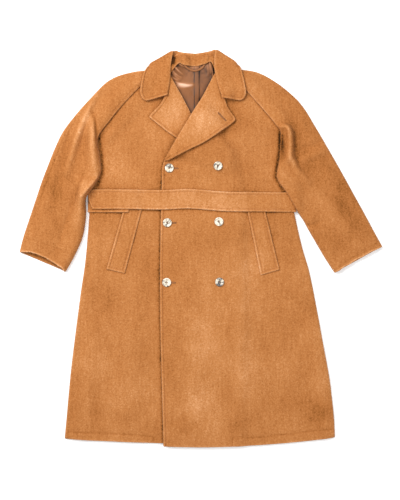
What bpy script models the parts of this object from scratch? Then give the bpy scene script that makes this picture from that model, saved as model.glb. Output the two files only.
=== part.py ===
"""Double-breasted raglan overcoat with its belt, laid out flat on its back.

Left and right are the wearer's. X runs to the wearer's left, Y from the hem to the collar, and Z up
from the surface that the coat lies on. The tables are in millimetres. Each panel is a grid of points
worked out from a short table of sections, and it rests on what was laid before it.
"""

import math
from collections import namedtuple

import bmesh
import bpy
import numpy as np

MM = 0.001

# Driving dimensions, in millimetres
CLOTH = 2.5  # brushed coating
SATIN = 1.0  # lining and hanger loop
SEAM_GAP = 0.3  # between pieces that are sewn or lie on each other
EDGE_BAND = 9.0  # first and last column of a panel, where its edge is stitched
EDGE_CURL = 2.5  # how far a side seam lifts off the surface
SIDE_ROUND = 40.0  # distance from a seam over which a panel rises to its loft
BODY_LOFT = 3.0  # space that the lining takes between the fronts and the back
BELT_WIDTH = 57.0
BELT_SHARES = np.array([-0.5, -0.38, 0.0, 0.38, 0.5])  # points across the belt, as shares of its width
BELT_TURN = 6.0  # how far the belt stands out where it turns round the side
BUTTON_DIAMETER = 26.5
BUTTON_THICKNESS = 4.2
BUTTON_SIDES = 18
THREAD_HOLE = 2.4
THREAD_SPACING = 5.6
LOOP_WIDTH = 6.0
COLLAR_FALL = 90.0  # width of the collar from its crease to its edge

# Colours, roughness
CAMEL = ((0.60, 0.31, 0.12, 1.0), 0.95)
SATIN_BROWN = ((0.26, 0.13, 0.07, 1.0), 0.35)
HORN = ((0.80, 0.74, 0.62, 1.0), 0.30)

Section = namedtuple("Section", "place x0 y0 x1 y1 bow")
SleeveSection = namedtuple("SleeveSection", "place outer_x outer_y fold_x fold_y under_x under_y loft")
CollarSection = namedtuple("CollarSection", "place crease_x crease_y edge_x edge_y lies")
Fold = namedtuple("Fold", "panel x0 y0 xm ym x1 y1 half_width height")
LinePoint = namedtuple("LinePoint", "place x y")

# Back, from hem to neck: right seam, left seam
BACK = [
    Section("hem", -402, -567, 398, -563, -18),
    Section("shin", -397, -500, 395, -503, -8),
    Section("knee", -386, -380, 383, -395, 0),
    Section("thigh", -371, -256, 363, -285, 0),
    Section("hip", -356, -140, 342, -172, 0),
    Section("pocket", -344, -60, 322, -76, 0),
    Section("seat", -336, 20, 301, 0, 0),
    Section("waist", -330, 110, 276, 108, 0),
    Section("rib", -325, 190, 269, 175, 0),
    Section("chest", -315, 250, 257, 240, 0),
    Section("armpit", -306, 319, 240, 340, 0),
    Section("blade", -262, 388, 205, 388, 0),
    Section("yoke", -205, 450, 150, 450, 0),
    Section("shoulder", -140, 508, 95, 508, 0),
    Section("neck", -76, 549, 45, 551, -9),
]

# Right front, from hem to neck: side and raglan seam, then leading edge and roll line
FRONT_RIGHT = [
    Section("hem", -406, -575, 104, -591, -4),
    Section("shin", -399, -500, 107, -510, 0),
    Section("knee", -388, -380, 109, -390, 0),
    Section("thigh", -373, -256, 110, -262, 0),
    Section("hip", -358, -140, 110, -142, 0),
    Section("pocket", -346, -60, 109, -50, 0),
    Section("seat", -338, 20, 108, 30, 0),
    Section("waist", -331, 110, 104, 120, 0),
    Section("rib", -326, 190, 92, 200, 0),
    Section("break", -317, 255, 77, 254, 0),
    Section("armpit", -310, 322, 20, 330, 0),
    Section("chest", -281, 376, -29, 391, 0),
    Section("collarbone", -241, 427, -54, 438, 0),
    Section("shoulder", -186, 482, -75, 478, 0),
    Section("neck", -118, 527, -95, 515, 0),
]

# Left front, which laps over the right one
FRONT_LEFT = [
    Section("hem", 402, -571, -110, -597, -11),
    Section("shin", 398, -505, -112, -515, -6),
    Section("knee", 386, -400, -115, -400, 0),
    Section("thigh", 366, -290, -118, -285, 0),
    Section("hip", 345, -175, -120, -170, 0),
    Section("pocket", 325, -76, -120, -60, 0),
    Section("seat", 303, 0, -119, 20, 0),
    Section("waist", 278, 110, -117, 105, 0),
    Section("rib", 271, 175, -115, 180, 0),
    Section("break", 258, 240, -110, 249, 0),
    Section("bust", 249, 295, -70, 319, 0),
    Section("armpit", 244, 346, -27, 390, 0),
    Section("collarbone", 178, 430, 8, 446, 0),
    Section("shoulder", 133, 481, 29, 484, 0),
    Section("neck", 82, 535, 46, 519, 0),
]

# Sleeves, from cuff to neck: overarm seam, inner edge on top, inner edge underneath
SLEEVE_RIGHT = [
    SleeveSection("cuff", -541, -16, -404, -74, -404, -74, 14),
    SleeveSection("wrist", -529, 31, -377, -26, -377, -26, 13),
    SleeveSection("forearm", -511, 85, -354, 28, -354, 28, 12),
    SleeveSection("below elbow", -493, 139, -344, 86, -344, 86, 12),
    SleeveSection("elbow", -475, 193, -343, 140, -344, 140, 12),
    SleeveSection("above elbow", -457, 240, -318, 180, -338, 184, 12),
    SleeveSection("upper arm", -437, 290, -297, 224, -328, 234, 12),
    SleeveSection("biceps", -412, 342, -302, 276, -320, 284, 11),
    SleeveSection("armpit", -376, 391, -306, 325, -312, 328, 9),
    SleeveSection("cap", -328, 445, -271, 376, -255, 383, 7),
    SleeveSection("shoulder point", -272, 498, -228, 429, -199, 445, 5),
    SleeveSection("shoulder", -203, 522, -172, 484, -134, 503, 3),
    SleeveSection("neck", -122, 527, -112, 519, -74, 543, 0),
]
SLEEVE_LEFT = [
    SleeveSection("cuff", 543, 1, 402, -78, 402, -78, 10),
    SleeveSection("wrist", 516, 50, 374, -35, 374, -35, 10),
    SleeveSection("forearm", 487, 104, 344, 16, 344, 16, 10),
    SleeveSection("below elbow", 457, 158, 315, 67, 315, 67, 11),
    SleeveSection("elbow", 428, 211, 288, 108, 297, 108, 11),
    SleeveSection("above elbow", 398, 264, 259, 158, 295, 160, 11),
    SleeveSection("upper arm", 367, 318, 229, 205, 274, 208, 11),
    SleeveSection("biceps", 338, 367, 236, 262, 264, 262, 10),
    SleeveSection("armpit", 311, 412, 240, 335, 248, 338, 9),
    SleeveSection("cap", 283, 445, 222, 367, 199, 382, 7),
    SleeveSection("shoulder point", 231, 488, 174, 425, 144, 444, 5),
    SleeveSection("shoulder", 167, 522, 128, 475, 89, 502, 3),
    SleeveSection("neck", 94, 530, 80, 523, 43, 545, 0),
]
CUFF_SETBACK = {"right": 17.0, "left": 3.0}  # how far the top of the cuff is drawn back

# Lapels, from gorge to break: roll line, free edge
LAPEL_RIGHT = [
    Section("gorge", -95, 516, -104, 449, 0),
    Section("notch", -74, 476, -124, 419, 0),
    Section("peak", -53, 438, -151, 391, 0),
    Section("under peak", -28, 391, -144, 380, 0),
    Section("breast", -4, 350, -94, 340, 0),
    Section("chest", 23, 311, -45, 309, 0),
    Section("low", 50, 281, 5, 284, 0),
    Section("break", 74, 256, 68, 250, 0),
]
LAPEL_LEFT = [
    Section("gorge", 46, 520, 70, 446, 0),
    Section("notch", 28, 484, 83, 411, 0),
    Section("peak", 8, 446, 103, 384, 0),
    Section("under peak", -27, 390, 97, 371, 0),
    Section("breast", -52, 348, 62, 345, 0),
    Section("chest", -71, 317, 12, 311, 0),
    Section("low", -92, 281, -37, 287, 0),
    Section("break", -107, 256, -96, 257, 0),
]

# Collar halves, from the notch over the shoulder to the centre back
COLLAR_RIGHT = [
    CollarSection("notch", -99, 451, -168, 433, "top"),
    CollarSection("leaf", -93, 481, -179, 457, "top"),
    CollarSection("gorge", -90, 511, -177, 481, "top"),
    CollarSection("neck side", -89, 541, -172, 507, "top"),
    CollarSection("shoulder", -85, 568, -165, 529, "top"),
    CollarSection("turn", -79, 589, -163, 541, "turn"),
    CollarSection("behind", -67, 584, -141, 519, "floor"),
    CollarSection("blade", -52, 581, -103, 502, "floor"),
    CollarSection("nape", -32, 579, -58, 493, "floor"),
    CollarSection("centre back", -15.15, 577.5, -15.15, 490, "floor"),
]
COLLAR_LEFT = [
    CollarSection("notch", 65, 443, 125, 435, "top"),
    CollarSection("leaf", 57, 469, 135, 455, "top"),
    CollarSection("gorge", 48, 499, 132, 481, "top"),
    CollarSection("neck side", 42, 532, 127, 505, "top"),
    CollarSection("shoulder", 42, 566, 122, 527, "top"),
    CollarSection("turn", 45, 592, 119.5, 543, "turn"),
    CollarSection("behind", 35, 587, 97, 523, "floor"),
    CollarSection("blade", 19, 583, 61, 502, "floor"),
    CollarSection("nape", 2, 580, 22, 494, "floor"),
    CollarSection("centre back", -14.85, 577.5, -14.85, 490, "floor"),
]

# Collar stand, inside the neck from right to left: crease, neck seam
COLLAR_STAND = [
    Section("right neck", -98, 541, -89, 520, 0),
    Section("right end", -79, 571, -66, 547, 0),
    Section("right", -52, 579, -50, 543, 0),
    Section("centre back", -15, 576, -15, 540, 0),
    Section("left", 19, 581, 16, 547, 0),
    Section("left end", 38, 576, 32, 552, 0),
    Section("left neck", 53, 545, 45, 523, 0),
]

# Back lining, where the open neck shows it
LINING = [
    Section("under the breast", -75, 345, 35, 345, 0),
    Section("breast", -90, 420, 45, 420, 0),
    Section("chest", -104, 490, 60, 490, 0),
    Section("neck", -88, 556, 52, 560, -13),
]

# Hanger loop: middle line from right to left, its ends under the stand
HANGER_LOOP = [
    LinePoint("right end", -52, 556),
    LinePoint("right", -43, 537),
    LinePoint("low", -18, 526),
    LinePoint("left", 6, 536),
    LinePoint("left end", 16, 557),
]

# Pocket welts, from the belt down: open edge, stitched edge
WELT_RIGHT = [Section("top", -227, 118, -174, 118, 0), Section("foot", -280, -67, -227, -80, 0)]
WELT_LEFT = [Section("top", 190, 116, 139, 116, 0), Section("foot", 235, -69, 180, -85, 0)]

# Belt: middle line of the stretch across the front, and of the end that comes round the right side
BELT_FRONT = [
    LinePoint("left side", 280, 132),
    LinePoint("left pocket", 190, 133),
    LinePoint("left button", 75, 134),
    LinePoint("middle", -30, 142),
    LinePoint("leading edge", -112, 139),
    LinePoint("right pocket", -226, 141),
    LinePoint("right side", -322, 141),
]
BELT_END = [LinePoint("cut end", -215, 131), LinePoint("right side", -330, 131)]
BELT_TIP = 17.0  # how far the point of the belt reaches past its corners
BELT_TIP_AT = 14.0  # the point lies above the belt's middle line

# Buttons, wearer's right column then left column, from the top
BUTTONS = {
    "button_right_top": (-93, 234),
    "button_right_middle": (-99, 71),
    "button_right_low": (-101, -107),
    "button_left_top": (52, 240),
    "button_left_middle": (55, 74),
    "button_left_low": (57, -106),
}

# The largest folds, as ridges along a bent line
FOLDS = [
    Fold("sleeve_right_front", -316, 440, -372, 330, -398, 225, 16, 6),
    Fold("sleeve_right_front", -322, 372, -322, 300, -315, 222, 17, 9),
    Fold("sleeve_right_front", -345, 190, -362, 140, -366, 60, 20, 6),
    Fold("sleeve_left_front", 246, 352, 272, 342, 276, 274, 11, 12),
    Fold("sleeve_left_front", 276, 290, 282, 240, 312, 205, 13, 9),
    Fold("sleeve_left_front", 250, 306, 256, 262, 246, 214, 12, 7),
    Fold("sleeve_left_front", 310, 190, 390, 95, 480, 5, 34, 5),
    Fold("front_left", 118, -60, 138, -320, 150, -590, 40, 4),
    Fold("front_left", 340, -230, 366, -400, 380, -570, 26, 5),
    Fold("front_left", -40, -180, -22, -400, -14, -595, 38, 3.5),
    Fold("front_right", -320, -240, -338, -400, -350, -572, 30, 4.5),
    Fold("front_right", -205, -210, -212, -400, -220, -580, 36, 3.5),
]


def catmull_rom(table, at):
    """Rows of the table at fractional row numbers, on a smooth curve through every row."""
    table = np.asarray(table, float)
    padded = np.vstack([2 * table[0] - table[1], table, 2 * table[-1] - table[-2]])
    at = np.asarray(at, float)
    row = np.clip(np.floor(at).astype(int), 0, len(table) - 2)
    t = (at - row)[:, None]
    before, start, end, after = (padded[row + k] for k in range(4))
    return 0.5 * (
        2 * start
        + (end - before) * t
        + (2 * before - 5 * start + 4 * end - after) * t**2
        + (3 * start - before - 3 * end + after) * t**3
    )


def stations(rows, steps, band=0.12):
    """Fractional row numbers: steps in each row, and a narrow band at each end."""
    last = len(rows) - 1
    return np.array([0, band, *np.linspace(0, last, last * steps + 1)[1:-1], last - band, last])


def columns(count, width):
    """Shares of a section's width, with a narrow edge band on each side."""
    band = EDGE_BAND / width
    return np.array([0, *np.linspace(band, 1 - band, count), 1])


def patch(rows, across, along):
    """Grid of x, y points: along the rows, and across each from its first point to its second."""
    at = catmull_rom([row[1:6] for row in rows], along)
    x0, y0, x1, y1, bow = (at[:, k : k + 1] for k in range(5))
    u = across[None, :]
    return np.dstack([x0 + (x1 - x0) * u, y0 + (y1 - y0) * u + bow * 4 * u * (1 - u)])


def rise(distance, radius):
    """Quarter ellipse: 0 at an edge, 1 from radius inwards."""
    return np.sqrt(np.clip(1 - (1 - np.clip(distance / radius, 0, 1)) ** 2, 0, 1))


def edge_distances(xy, across):
    """Distance of each point of a patch from its first and last column."""
    width = np.linalg.norm(xy[:, -1] - xy[:, 0], axis=1)[:, None]
    return width * across, width * (1 - across)


def folds_on(panel, xy):
    """Height that a panel's folds add at each point."""
    height = np.zeros(xy.shape[:2])
    share = np.linspace(0, 1, 25)
    for fold in FOLDS:
        if fold.panel != panel:
            continue
        ends = [(1 - share) ** 2, 2 * share * (1 - share), share**2]
        line_x = sum(w * p for w, p in zip(ends, (fold.x0, fold.xm, fold.x1)))
        line_y = sum(w * p for w, p in zip(ends, (fold.y0, fold.ym, fold.y1)))
        apart = np.hypot(xy[..., 0, None] - line_x, xy[..., 1, None] - line_y)
        fade = np.sin(np.pi * (0.15 + 0.7 * share))
        height += fold.height * (fade * np.exp(-((apart / fold.half_width) ** 2))).max(axis=2)
    return height


def refined(grid, spacing):
    """The same surface with points no further apart than spacing."""
    for axis in (0, 1):
        step = np.linalg.norm(np.diff(grid, axis=axis), axis=2).max()
        count = (grid.shape[axis] - 1) * math.ceil(step / spacing) + 1
        at = np.linspace(0, grid.shape[axis] - 1, count)
        low = np.minimum(at.astype(int), grid.shape[axis] - 2)
        share = at - low
        share = share[:, None, None] if axis == 0 else share[None, :, None]
        grid = np.take(grid, low, axis) * (1 - share) + np.take(grid, low + 1, axis) * share
    return grid


def window(height, cells, combine):
    """Height combined over a square window of cells each way."""
    for axis in (0, 1):
        height = combine([np.roll(height, k, axis) for k in range(-cells, cells + 1)])
    return height


class Pile:
    """Height of what is laid so far, on a square grid, for the next piece to rest on."""

    CELL = 3.0
    REACH = 690.0

    def __init__(self):
        count = round(2 * self.REACH / self.CELL) + 1
        self.height = np.zeros((count, count))

    def cells(self, points):
        column, row = (np.rint((points[..., k] + self.REACH) / self.CELL).astype(int) for k in (0, 1))
        return row, column

    def add(self, top):
        fine = refined(top, self.CELL)
        np.maximum.at(self.height, self.cells(fine), fine[..., 2] + SEAM_GAP)

    def under(self, xy, reach):
        """Smooth height that clears, at each point, all that lies within reach under the piece."""
        fine = refined(np.dstack([xy, np.zeros(xy.shape[:2])]), self.CELL)
        covered = np.zeros(self.height.shape, bool)
        covered[self.cells(fine)] = True
        blur = math.ceil(0.5 * reach / self.CELL)
        spread = math.ceil(reach / self.CELL) + blur
        height = window(np.where(covered, self.height, 0), spread, lambda all_: np.max(all_, axis=0))
        height = window(height, blur, lambda all_: np.mean(all_, axis=0))
        return height[self.cells(xy)]


def material(name, finish):
    colour, roughness = finish
    made = bpy.data.materials.new(name)
    made.use_nodes = True
    shader = made.node_tree.nodes["Principled BSDF"]
    shader.inputs["Base Color"].default_value = colour
    shader.inputs["Roughness"].default_value = roughness
    shader.inputs["Metallic"].default_value = 0.0
    return made


def wall(name, inside, outside, finish):
    """One closed solid between two grids: a sheet of the inside points, extruded to the outside ones."""
    rows, count = inside.shape[:2]
    shape = bmesh.new()
    low = [[shape.verts.new(p * MM) for p in row] for row in inside]
    for i in range(rows - 1):
        for j in range(count - 1):
            shape.faces.new((low[i][j], low[i][j + 1], low[i + 1][j + 1], low[i + 1][j]))
    shape.verts.index_update()
    made = bmesh.ops.extrude_face_region(shape, geom=shape.faces[:], use_keep_orig=True)
    high = [v for v in made["geom"] if isinstance(v, bmesh.types.BMVert)]
    where = {tuple(v.co): k for k, v in enumerate(v for row in low for v in row)}
    flat = outside.reshape(-1, 3)
    for vert in high:
        vert.co = flat[where[tuple(vert.co)]] * MM
    bmesh.ops.recalc_face_normals(shape, faces=shape.faces[:])
    if shape.calc_volume(signed=True) < 0:
        bmesh.ops.reverse_faces(shape, faces=shape.faces[:])
    return placed(name, shape, finish)


def placed(name, shape, finish):
    mesh = bpy.data.meshes.new(name)
    shape.to_mesh(mesh)
    shape.free()
    mesh.shade_smooth()
    mesh.set_sharp_from_angle(angle=math.radians(40))
    mesh.materials.append(finish)
    piece = bpy.data.objects.new(name, mesh)
    bpy.context.scene.collection.objects.link(piece)
    return piece


def steepness(grid):
    """Length of the wall along Z over its thickness, from the slope of the surface."""
    down, over = np.gradient(grid, axis=0), np.gradient(grid, axis=1)
    normal = np.cross(down, over)
    return np.clip(np.linalg.norm(normal, axis=2) / np.abs(normal[..., 2]), 1.0, 2.2)


def lay(name, pile, xy, loft, reach, finish, thickness=CLOTH):
    """A panel that lies on the pile, lifted by its loft, and is then part of the pile."""
    inside = np.dstack([xy, pile.under(xy, reach) + loft])
    outside = inside.copy()
    outside[..., 2] += thickness * steepness(inside)
    wall(name, inside, outside, finish)
    pile.add(outside)


def ribbon(name, middle, thickness, finish):
    """A strip of cloth that turns over, of even thickness either side of a middle surface."""
    normal = np.cross(np.gradient(middle, axis=0), np.gradient(middle, axis=1))
    normal *= 0.5 * thickness / np.linalg.norm(normal, axis=2, keepdims=True)
    wall(name, middle - normal, middle + normal, finish)


def lay_back(pile, finish):
    across = columns(10, 740)
    along = stations(BACK, 1)
    xy = patch(BACK, across, along)
    curl = side_curl(xy, across, along, armpit_row(BACK))
    lay("back", pile, xy, curl, 45, finish)


def armpit_row(rows):
    return next(k for k, row in enumerate(rows) if row.place == "armpit")


def side_curl(xy, across, along, armpit):
    """Lift of the side edges below the armpit, where a seam closes them."""
    near, far = edge_distances(xy, across)
    below = np.clip(armpit - along, 0, 1)[:, None]
    return EDGE_CURL * below * (1 - rise(np.minimum(near, far), SIDE_ROUND / 2))


def lay_front(name, rows, pile, finish):
    across = columns(9, 500)
    xy = patch(rows, across, stations(rows, 2))
    near, far = edge_distances(xy, across)
    loft = BODY_LOFT * rise(near, SIDE_ROUND) * rise(far, SIDE_ROUND)
    lay(name, pile, xy, loft + folds_on(name, xy), 42, finish)


def sleeve_rows(rows, inner_x, inner_y, cuff_bow=0.0):
    """Sections of one half of a sleeve, with the given inner edge."""
    made = [
        Section(r.place, r.outer_x, r.outer_y, getattr(r, inner_x), getattr(r, inner_y), 0.0) for r in rows
    ]
    made[0] = made[0]._replace(bow=cuff_bow)
    return made


def lay_sleeve_back(side, rows, pile, finish):
    across = columns(5, 150)
    half = sleeve_rows(rows, "under_x", "under_y")
    along = stations(half, 2)
    xy = patch(half, across, along)
    curl = side_curl(xy, across, along, armpit_row(rows))
    lay(f"sleeve_{side}_back", pile, xy, curl, 20, finish)


def lay_sleeve_front(side, rows, pile, finish):
    name = f"sleeve_{side}_front"
    across = columns(8, 150)
    half = sleeve_rows(rows, "fold_x", "fold_y", CUFF_SETBACK[side])
    along = stations(half, 2)
    xy = patch(half, across, along)
    near, far = edge_distances(xy, across)
    loft = catmull_rom([[r.loft] for r in rows], along) * rise(near, SIDE_ROUND) * rise(far, SIDE_ROUND)
    lay(name, pile, xy, loft + folds_on(name, xy), 20, finish)


def lay_flat(name, rows, pile, count, width, steps, reach, finish, thickness=CLOTH):
    """A small panel that lies close on what is under it."""
    xy = patch(rows, columns(count, width), stations(rows, steps))
    lay(name, pile, xy, 0.0, reach, finish, thickness)


def collar_floor(rows):
    """Grid of the part of a collar half that lies behind the neck, on the surface."""
    behind = [r for r in rows if r.lies == "floor"]
    edges = catmull_rom([r[1:5] for r in behind], np.linspace(0, len(behind) - 1, 7))
    return collar_grid(edges, CLOTH / 2)


def collar_grid(edges, z):
    """Grid across the collar from its crease to its edge, at one height."""
    u = columns(4, COLLAR_FALL)
    x = edges[:, 0:1] * (1 - u) + edges[:, 2:3] * u
    y = edges[:, 1:2] * (1 - u) + edges[:, 3:4] * u
    return np.dstack([x, y, np.full(x.shape, z)])


def lay_collar(name, rows, floor, pile, finish):
    """Half a collar: the leaf on the front, the turn over the shoulder, and the fall behind the neck."""
    leaf_rows = [r for r in rows if r.lies == "top"]
    leaf = catmull_rom([r[1:5] for r in leaf_rows], stations(leaf_rows, 2))
    flat = collar_grid(leaf, CLOTH / 2)
    flat[..., 2] += pile.under(flat[..., :2], 12)
    turn = collar_grid(np.array([r[1:5] for r in rows if r.lies == "turn"], float), 0.0)
    turn[0, :, 2] = (flat[-1, :, 2] + floor[0, :, 2]) / 2
    bend = np.concatenate([flat[-2:], turn, floor[:2]])
    bent = np.stack([catmull_rom(column, [1.5, 2.0, 2.5]) for column in bend.swapaxes(0, 1)], axis=1)
    bent[..., 2] = np.maximum(bent[..., 2], CLOTH / 2)
    middle = np.concatenate([flat, bent, floor])
    ribbon(name, middle, CLOTH, finish)
    top = flat.copy()
    top[..., 2] += CLOTH / 2
    pile.add(top)


def belt_stretch(line, count):
    """Flat grid of a stretch of belt along its middle line."""
    at = catmull_rom([point[1:] for point in line], np.linspace(0, len(line) - 1, count))
    x = np.repeat(at[:, 0:1], BELT_SHARES.size, axis=1)
    return np.dstack([x, at[:, 1:2] + BELT_WIDTH * BELT_SHARES])


def belt_turn(top, low, outward):
    """Rows that carry the belt round a side, from its top end to the stretch underneath."""
    angles = np.radians([60, 20, -20, -60])
    z_top, z_low = top[:, 2], low[:, 2]
    made = []
    for angle in angles:
        row = top + (low - top) * (0.5 - 0.5 * math.sin(angle))
        row[:, 0] += outward * BELT_TURN * math.cos(angle)
        row[:, 2] = (z_top + z_low) / 2 + (z_top - z_low) / 2 * math.sin(angle)
        made.append(row)
    return np.array(made)


def belt_underneath():
    """Grid of the stretch behind the back, on the surface, from the left side to the right one."""
    line = [BELT_FRONT[0], BELT_END[-1]]
    xy = belt_stretch(line, 9)
    return np.dstack([xy, np.full(xy.shape[:2], CLOTH / 2)])


def lay_belt(pile, underneath, finish):
    """The belt from its tip across the front, round the left side, behind, and up round the right side."""
    end = belt_stretch(BELT_END, 6)
    end = np.dstack([end, pile.under(end, 24) + CLOTH / 2])
    pile.add(end + np.array([0, 0, CLOTH / 2]))
    front = belt_stretch(BELT_FRONT, 25)
    from_point = np.abs(BELT_WIDTH * BELT_SHARES - BELT_TIP_AT)
    front[-1, :, 0] -= BELT_TIP * (1 - from_point / (BELT_WIDTH / 2 + BELT_TIP_AT))
    front = np.dstack([front, pile.under(front, 28) + CLOTH / 2])
    pile.add(front + np.array([0, 0, CLOTH / 2]))
    left_turn = belt_turn(front[0], underneath[0], 1.0)
    right_turn = belt_turn(end[-1], underneath[-1], -1.0)[::-1]
    middle = np.concatenate([front[::-1], left_turn, underneath, right_turn, end[::-1]])
    ribbon("belt", middle, CLOTH, finish)


def lay_loop(pile, finish):
    at = catmull_rom([point[1:] for point in HANGER_LOOP], np.linspace(0, len(HANGER_LOOP) - 1, 17))
    along = np.gradient(at, axis=0)
    side = np.stack([-along[:, 1], along[:, 0]], axis=1) / np.linalg.norm(along, axis=1, keepdims=True)
    offsets = np.array([-0.5, 0.0, 0.5]) * LOOP_WIDTH
    xy = at[:, None, :] + side[:, None, :] * offsets[None, :, None]
    lay("hanger_loop", pile, xy, 0.0, 5, finish, SATIN)


def lathe(profile, sides):
    """Solid turned about Z from (radius, height) points that start and end on the axis."""
    shape = bmesh.new()
    points = [shape.verts.new((r * MM, 0, z * MM)) for r, z in profile]
    edges = [shape.edges.new(pair) for pair in zip(points, points[1:])]
    bmesh.ops.spin(
        shape,
        geom=points + edges,
        axis=(0, 0, 1),
        cent=(0, 0, 0),
        angle=2 * math.pi,
        steps=sides,
        use_merge=True,
    )
    bmesh.ops.remove_doubles(shape, verts=shape.verts[:], dist=1e-6)
    bmesh.ops.recalc_face_normals(shape, faces=shape.faces[:])
    return shape


def lay_button(name, place, pile, finish):
    """Four-hole button with a raised rim, resting on the front under it."""
    radius, height = BUTTON_DIAMETER / 2, BUTTON_THICKNESS
    profile = [
        (0, 0),
        (0.78 * radius, 0),
        (radius, 0.45 * height),
        (0.93 * radius, height),
        (0.62 * radius, 0.66 * height),
        (0, 0.66 * height),
    ]
    button = placed(name, lathe(profile, BUTTON_SIDES), finish)
    turn = np.linspace(0, 2 * np.pi, 13)
    reach = np.array([0, 0.5, 1.0])[:, None] * radius
    disc = np.dstack([place[0] + reach * np.cos(turn), place[1] + reach * np.sin(turn)])
    button.location = (place[0] * MM, place[1] * MM, pile.under(disc, 3).max() * MM)
    hole = [(0, -2), (THREAD_HOLE / 2, -2), (THREAD_HOLE / 2, height + 2), (0, height + 2)]
    for k in range(4):
        cutter = placed(f"{name}_hole_{k}", lathe(hole, 6), finish)
        angle = math.radians(45 + 90 * k)
        aside = THREAD_SPACING / 2 * MM
        cutter.location = (aside * math.cos(angle), aside * math.sin(angle), 0)
        cutter.parent = button
        cutter.hide_render = True
        cut = button.modifiers.new(f"hole {k}", "BOOLEAN")
        cut.operation = "DIFFERENCE"
        cut.solver = "EXACT"
        cut.object = cutter


def centre_on_origin():
    """Parents every piece to an empty that puts the middle of the coat's outline over the origin."""
    bpy.context.view_layer.update()
    pieces = [o for o in bpy.context.scene.objects if o.parent is None]
    corners = np.array([o.matrix_world @ v.co for o in pieces for v in o.data.vertices])
    middle = (corners.min(axis=0) + corners.max(axis=0)) / 2
    coat = bpy.data.objects.new("coat", None)
    bpy.context.scene.collection.objects.link(coat)
    coat.location = (-middle[0], -middle[1], 0)
    for piece in pieces:
        piece.parent = coat


def main():
    for old in list(bpy.data.objects):
        bpy.data.objects.remove(old)
    camel, satin, horn = (
        material(name, finish)
        for name, finish in (("camel_wool", CAMEL), ("lining_satin", SATIN_BROWN), ("horn", HORN))
    )
    pile = Pile()
    collar_floors = {"right": collar_floor(COLLAR_RIGHT), "left": collar_floor(COLLAR_LEFT)}
    underneath = belt_underneath()
    for lying in (*collar_floors.values(), underneath):
        pile.add(lying + np.array([0, 0, CLOTH / 2]))
    lay_back(pile, camel)
    lay_sleeve_back("right", SLEEVE_RIGHT, pile, camel)
    lay_sleeve_back("left", SLEEVE_LEFT, pile, camel)
    lay_flat("lining", LINING, pile, 4, 140, 3, 20, satin, SATIN)
    lay_front("front_right", FRONT_RIGHT, pile, camel)
    lay_flat("lapel_right", LAPEL_RIGHT, pile, 4, 90, 2, 14, camel)
    lay_front("front_left", FRONT_LEFT, pile, camel)
    lay_flat("lapel_left", LAPEL_LEFT, pile, 4, 90, 2, 14, camel)
    lay_flat("pocket_welt_right", WELT_RIGHT, pile, 2, 52, 7, 20, camel)
    lay_flat("pocket_welt_left", WELT_LEFT, pile, 2, 52, 7, 20, camel)
    lay_belt(pile, underneath, camel)
    lay_sleeve_front("right", SLEEVE_RIGHT, pile, camel)
    lay_sleeve_front("left", SLEEVE_LEFT, pile, camel)
    lay_loop(pile, satin)
    lay_flat("collar_stand", COLLAR_STAND, pile, 2, 36, 2, 12, camel)
    lay_collar("collar_right", COLLAR_RIGHT, collar_floors["right"], pile, camel)
    lay_collar("collar_left", COLLAR_LEFT, collar_floors["left"], pile, camel)
    for name, place in BUTTONS.items():
        lay_button(name, place, pile, horn)
    centre_on_origin()


main()
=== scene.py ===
"""Looks of the raglan overcoat laid out flat: brushed cloth, topstitching, satin lining and horn buttons.

Left and right are the wearer's. X runs to the wearer's left, Y from the hem to the collar, and Z up.
The tables are in millimetres. They repeat the sections of the panels, and each panel is laid on those
before it, at a finer spacing and with its creases, seams and stitches.
"""

import math
from collections import namedtuple

import bmesh
import bpy
import numpy as np
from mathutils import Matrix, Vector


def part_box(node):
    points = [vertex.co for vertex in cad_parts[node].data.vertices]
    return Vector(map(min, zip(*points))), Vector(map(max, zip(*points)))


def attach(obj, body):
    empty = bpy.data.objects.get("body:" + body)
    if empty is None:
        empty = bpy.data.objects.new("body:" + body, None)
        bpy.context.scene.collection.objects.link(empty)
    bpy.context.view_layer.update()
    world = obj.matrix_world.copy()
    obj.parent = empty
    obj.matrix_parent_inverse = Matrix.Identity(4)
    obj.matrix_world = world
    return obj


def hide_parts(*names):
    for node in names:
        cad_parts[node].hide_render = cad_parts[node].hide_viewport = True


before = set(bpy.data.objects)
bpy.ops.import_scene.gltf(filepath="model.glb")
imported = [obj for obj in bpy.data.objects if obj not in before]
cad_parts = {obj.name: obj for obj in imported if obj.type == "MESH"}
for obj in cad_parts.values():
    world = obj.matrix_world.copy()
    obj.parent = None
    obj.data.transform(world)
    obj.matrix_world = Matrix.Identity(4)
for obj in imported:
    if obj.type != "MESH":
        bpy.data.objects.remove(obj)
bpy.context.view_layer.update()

MM = 0.001

# Cloth, in millimetres
CLOTH = 2.5
SATIN = 1.0
SEAM_GAP = 0.3
EDGE_CURL = 2.5  # how far a side seam lifts off the surface
SIDE_ROUND = 40.0  # distance from a seam over which a panel rises to its loft
FOLD_ROUND = 16.0  # the same, along the inner fold of a sleeve
BODY_LOFT = 3.0
INSET = 7.0  # of the topstitching from a turned edge
BAND = np.array([0.0, 0.8, 1.9, 3.3, 4.8, 6.0, INSET, 8.0, 9.3, 11.0])  # rows of points along a turned edge
INSET_ROW = 6  # the row of points that the topstitching follows
EDGE_ROLL = 0.9  # how full a turned edge is outside its stitching
DENT = 0.9  # how deep stitches pull the cloth
DENT_WIDTH = 1.7
RIM_BULGE = 0.8  # share of half the thickness that a cut edge rounds out
RIM_HIGHLIGHT = 0.65  # painted highlight along an edge, where the nap catches the light
RIM_WIDTH = 3.2
EDGE_LIFT = 1.8  # how far a free edge stands off what it lies on
LIFT_WIDTH = 14.0
FOLD_PAINTED_LIGHT = 0.06  # painted highlight for each millimetre of a ridge; a trough gets a third of it as painted shade
HOLLOW_REACH = (2.5, 5.0, 8.0, 12.0, 18.0, 26.0)  # distances at which a hollow's walls are looked for
COVERED = 8.0  # below this depth under the top of the coat nothing shows
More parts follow.
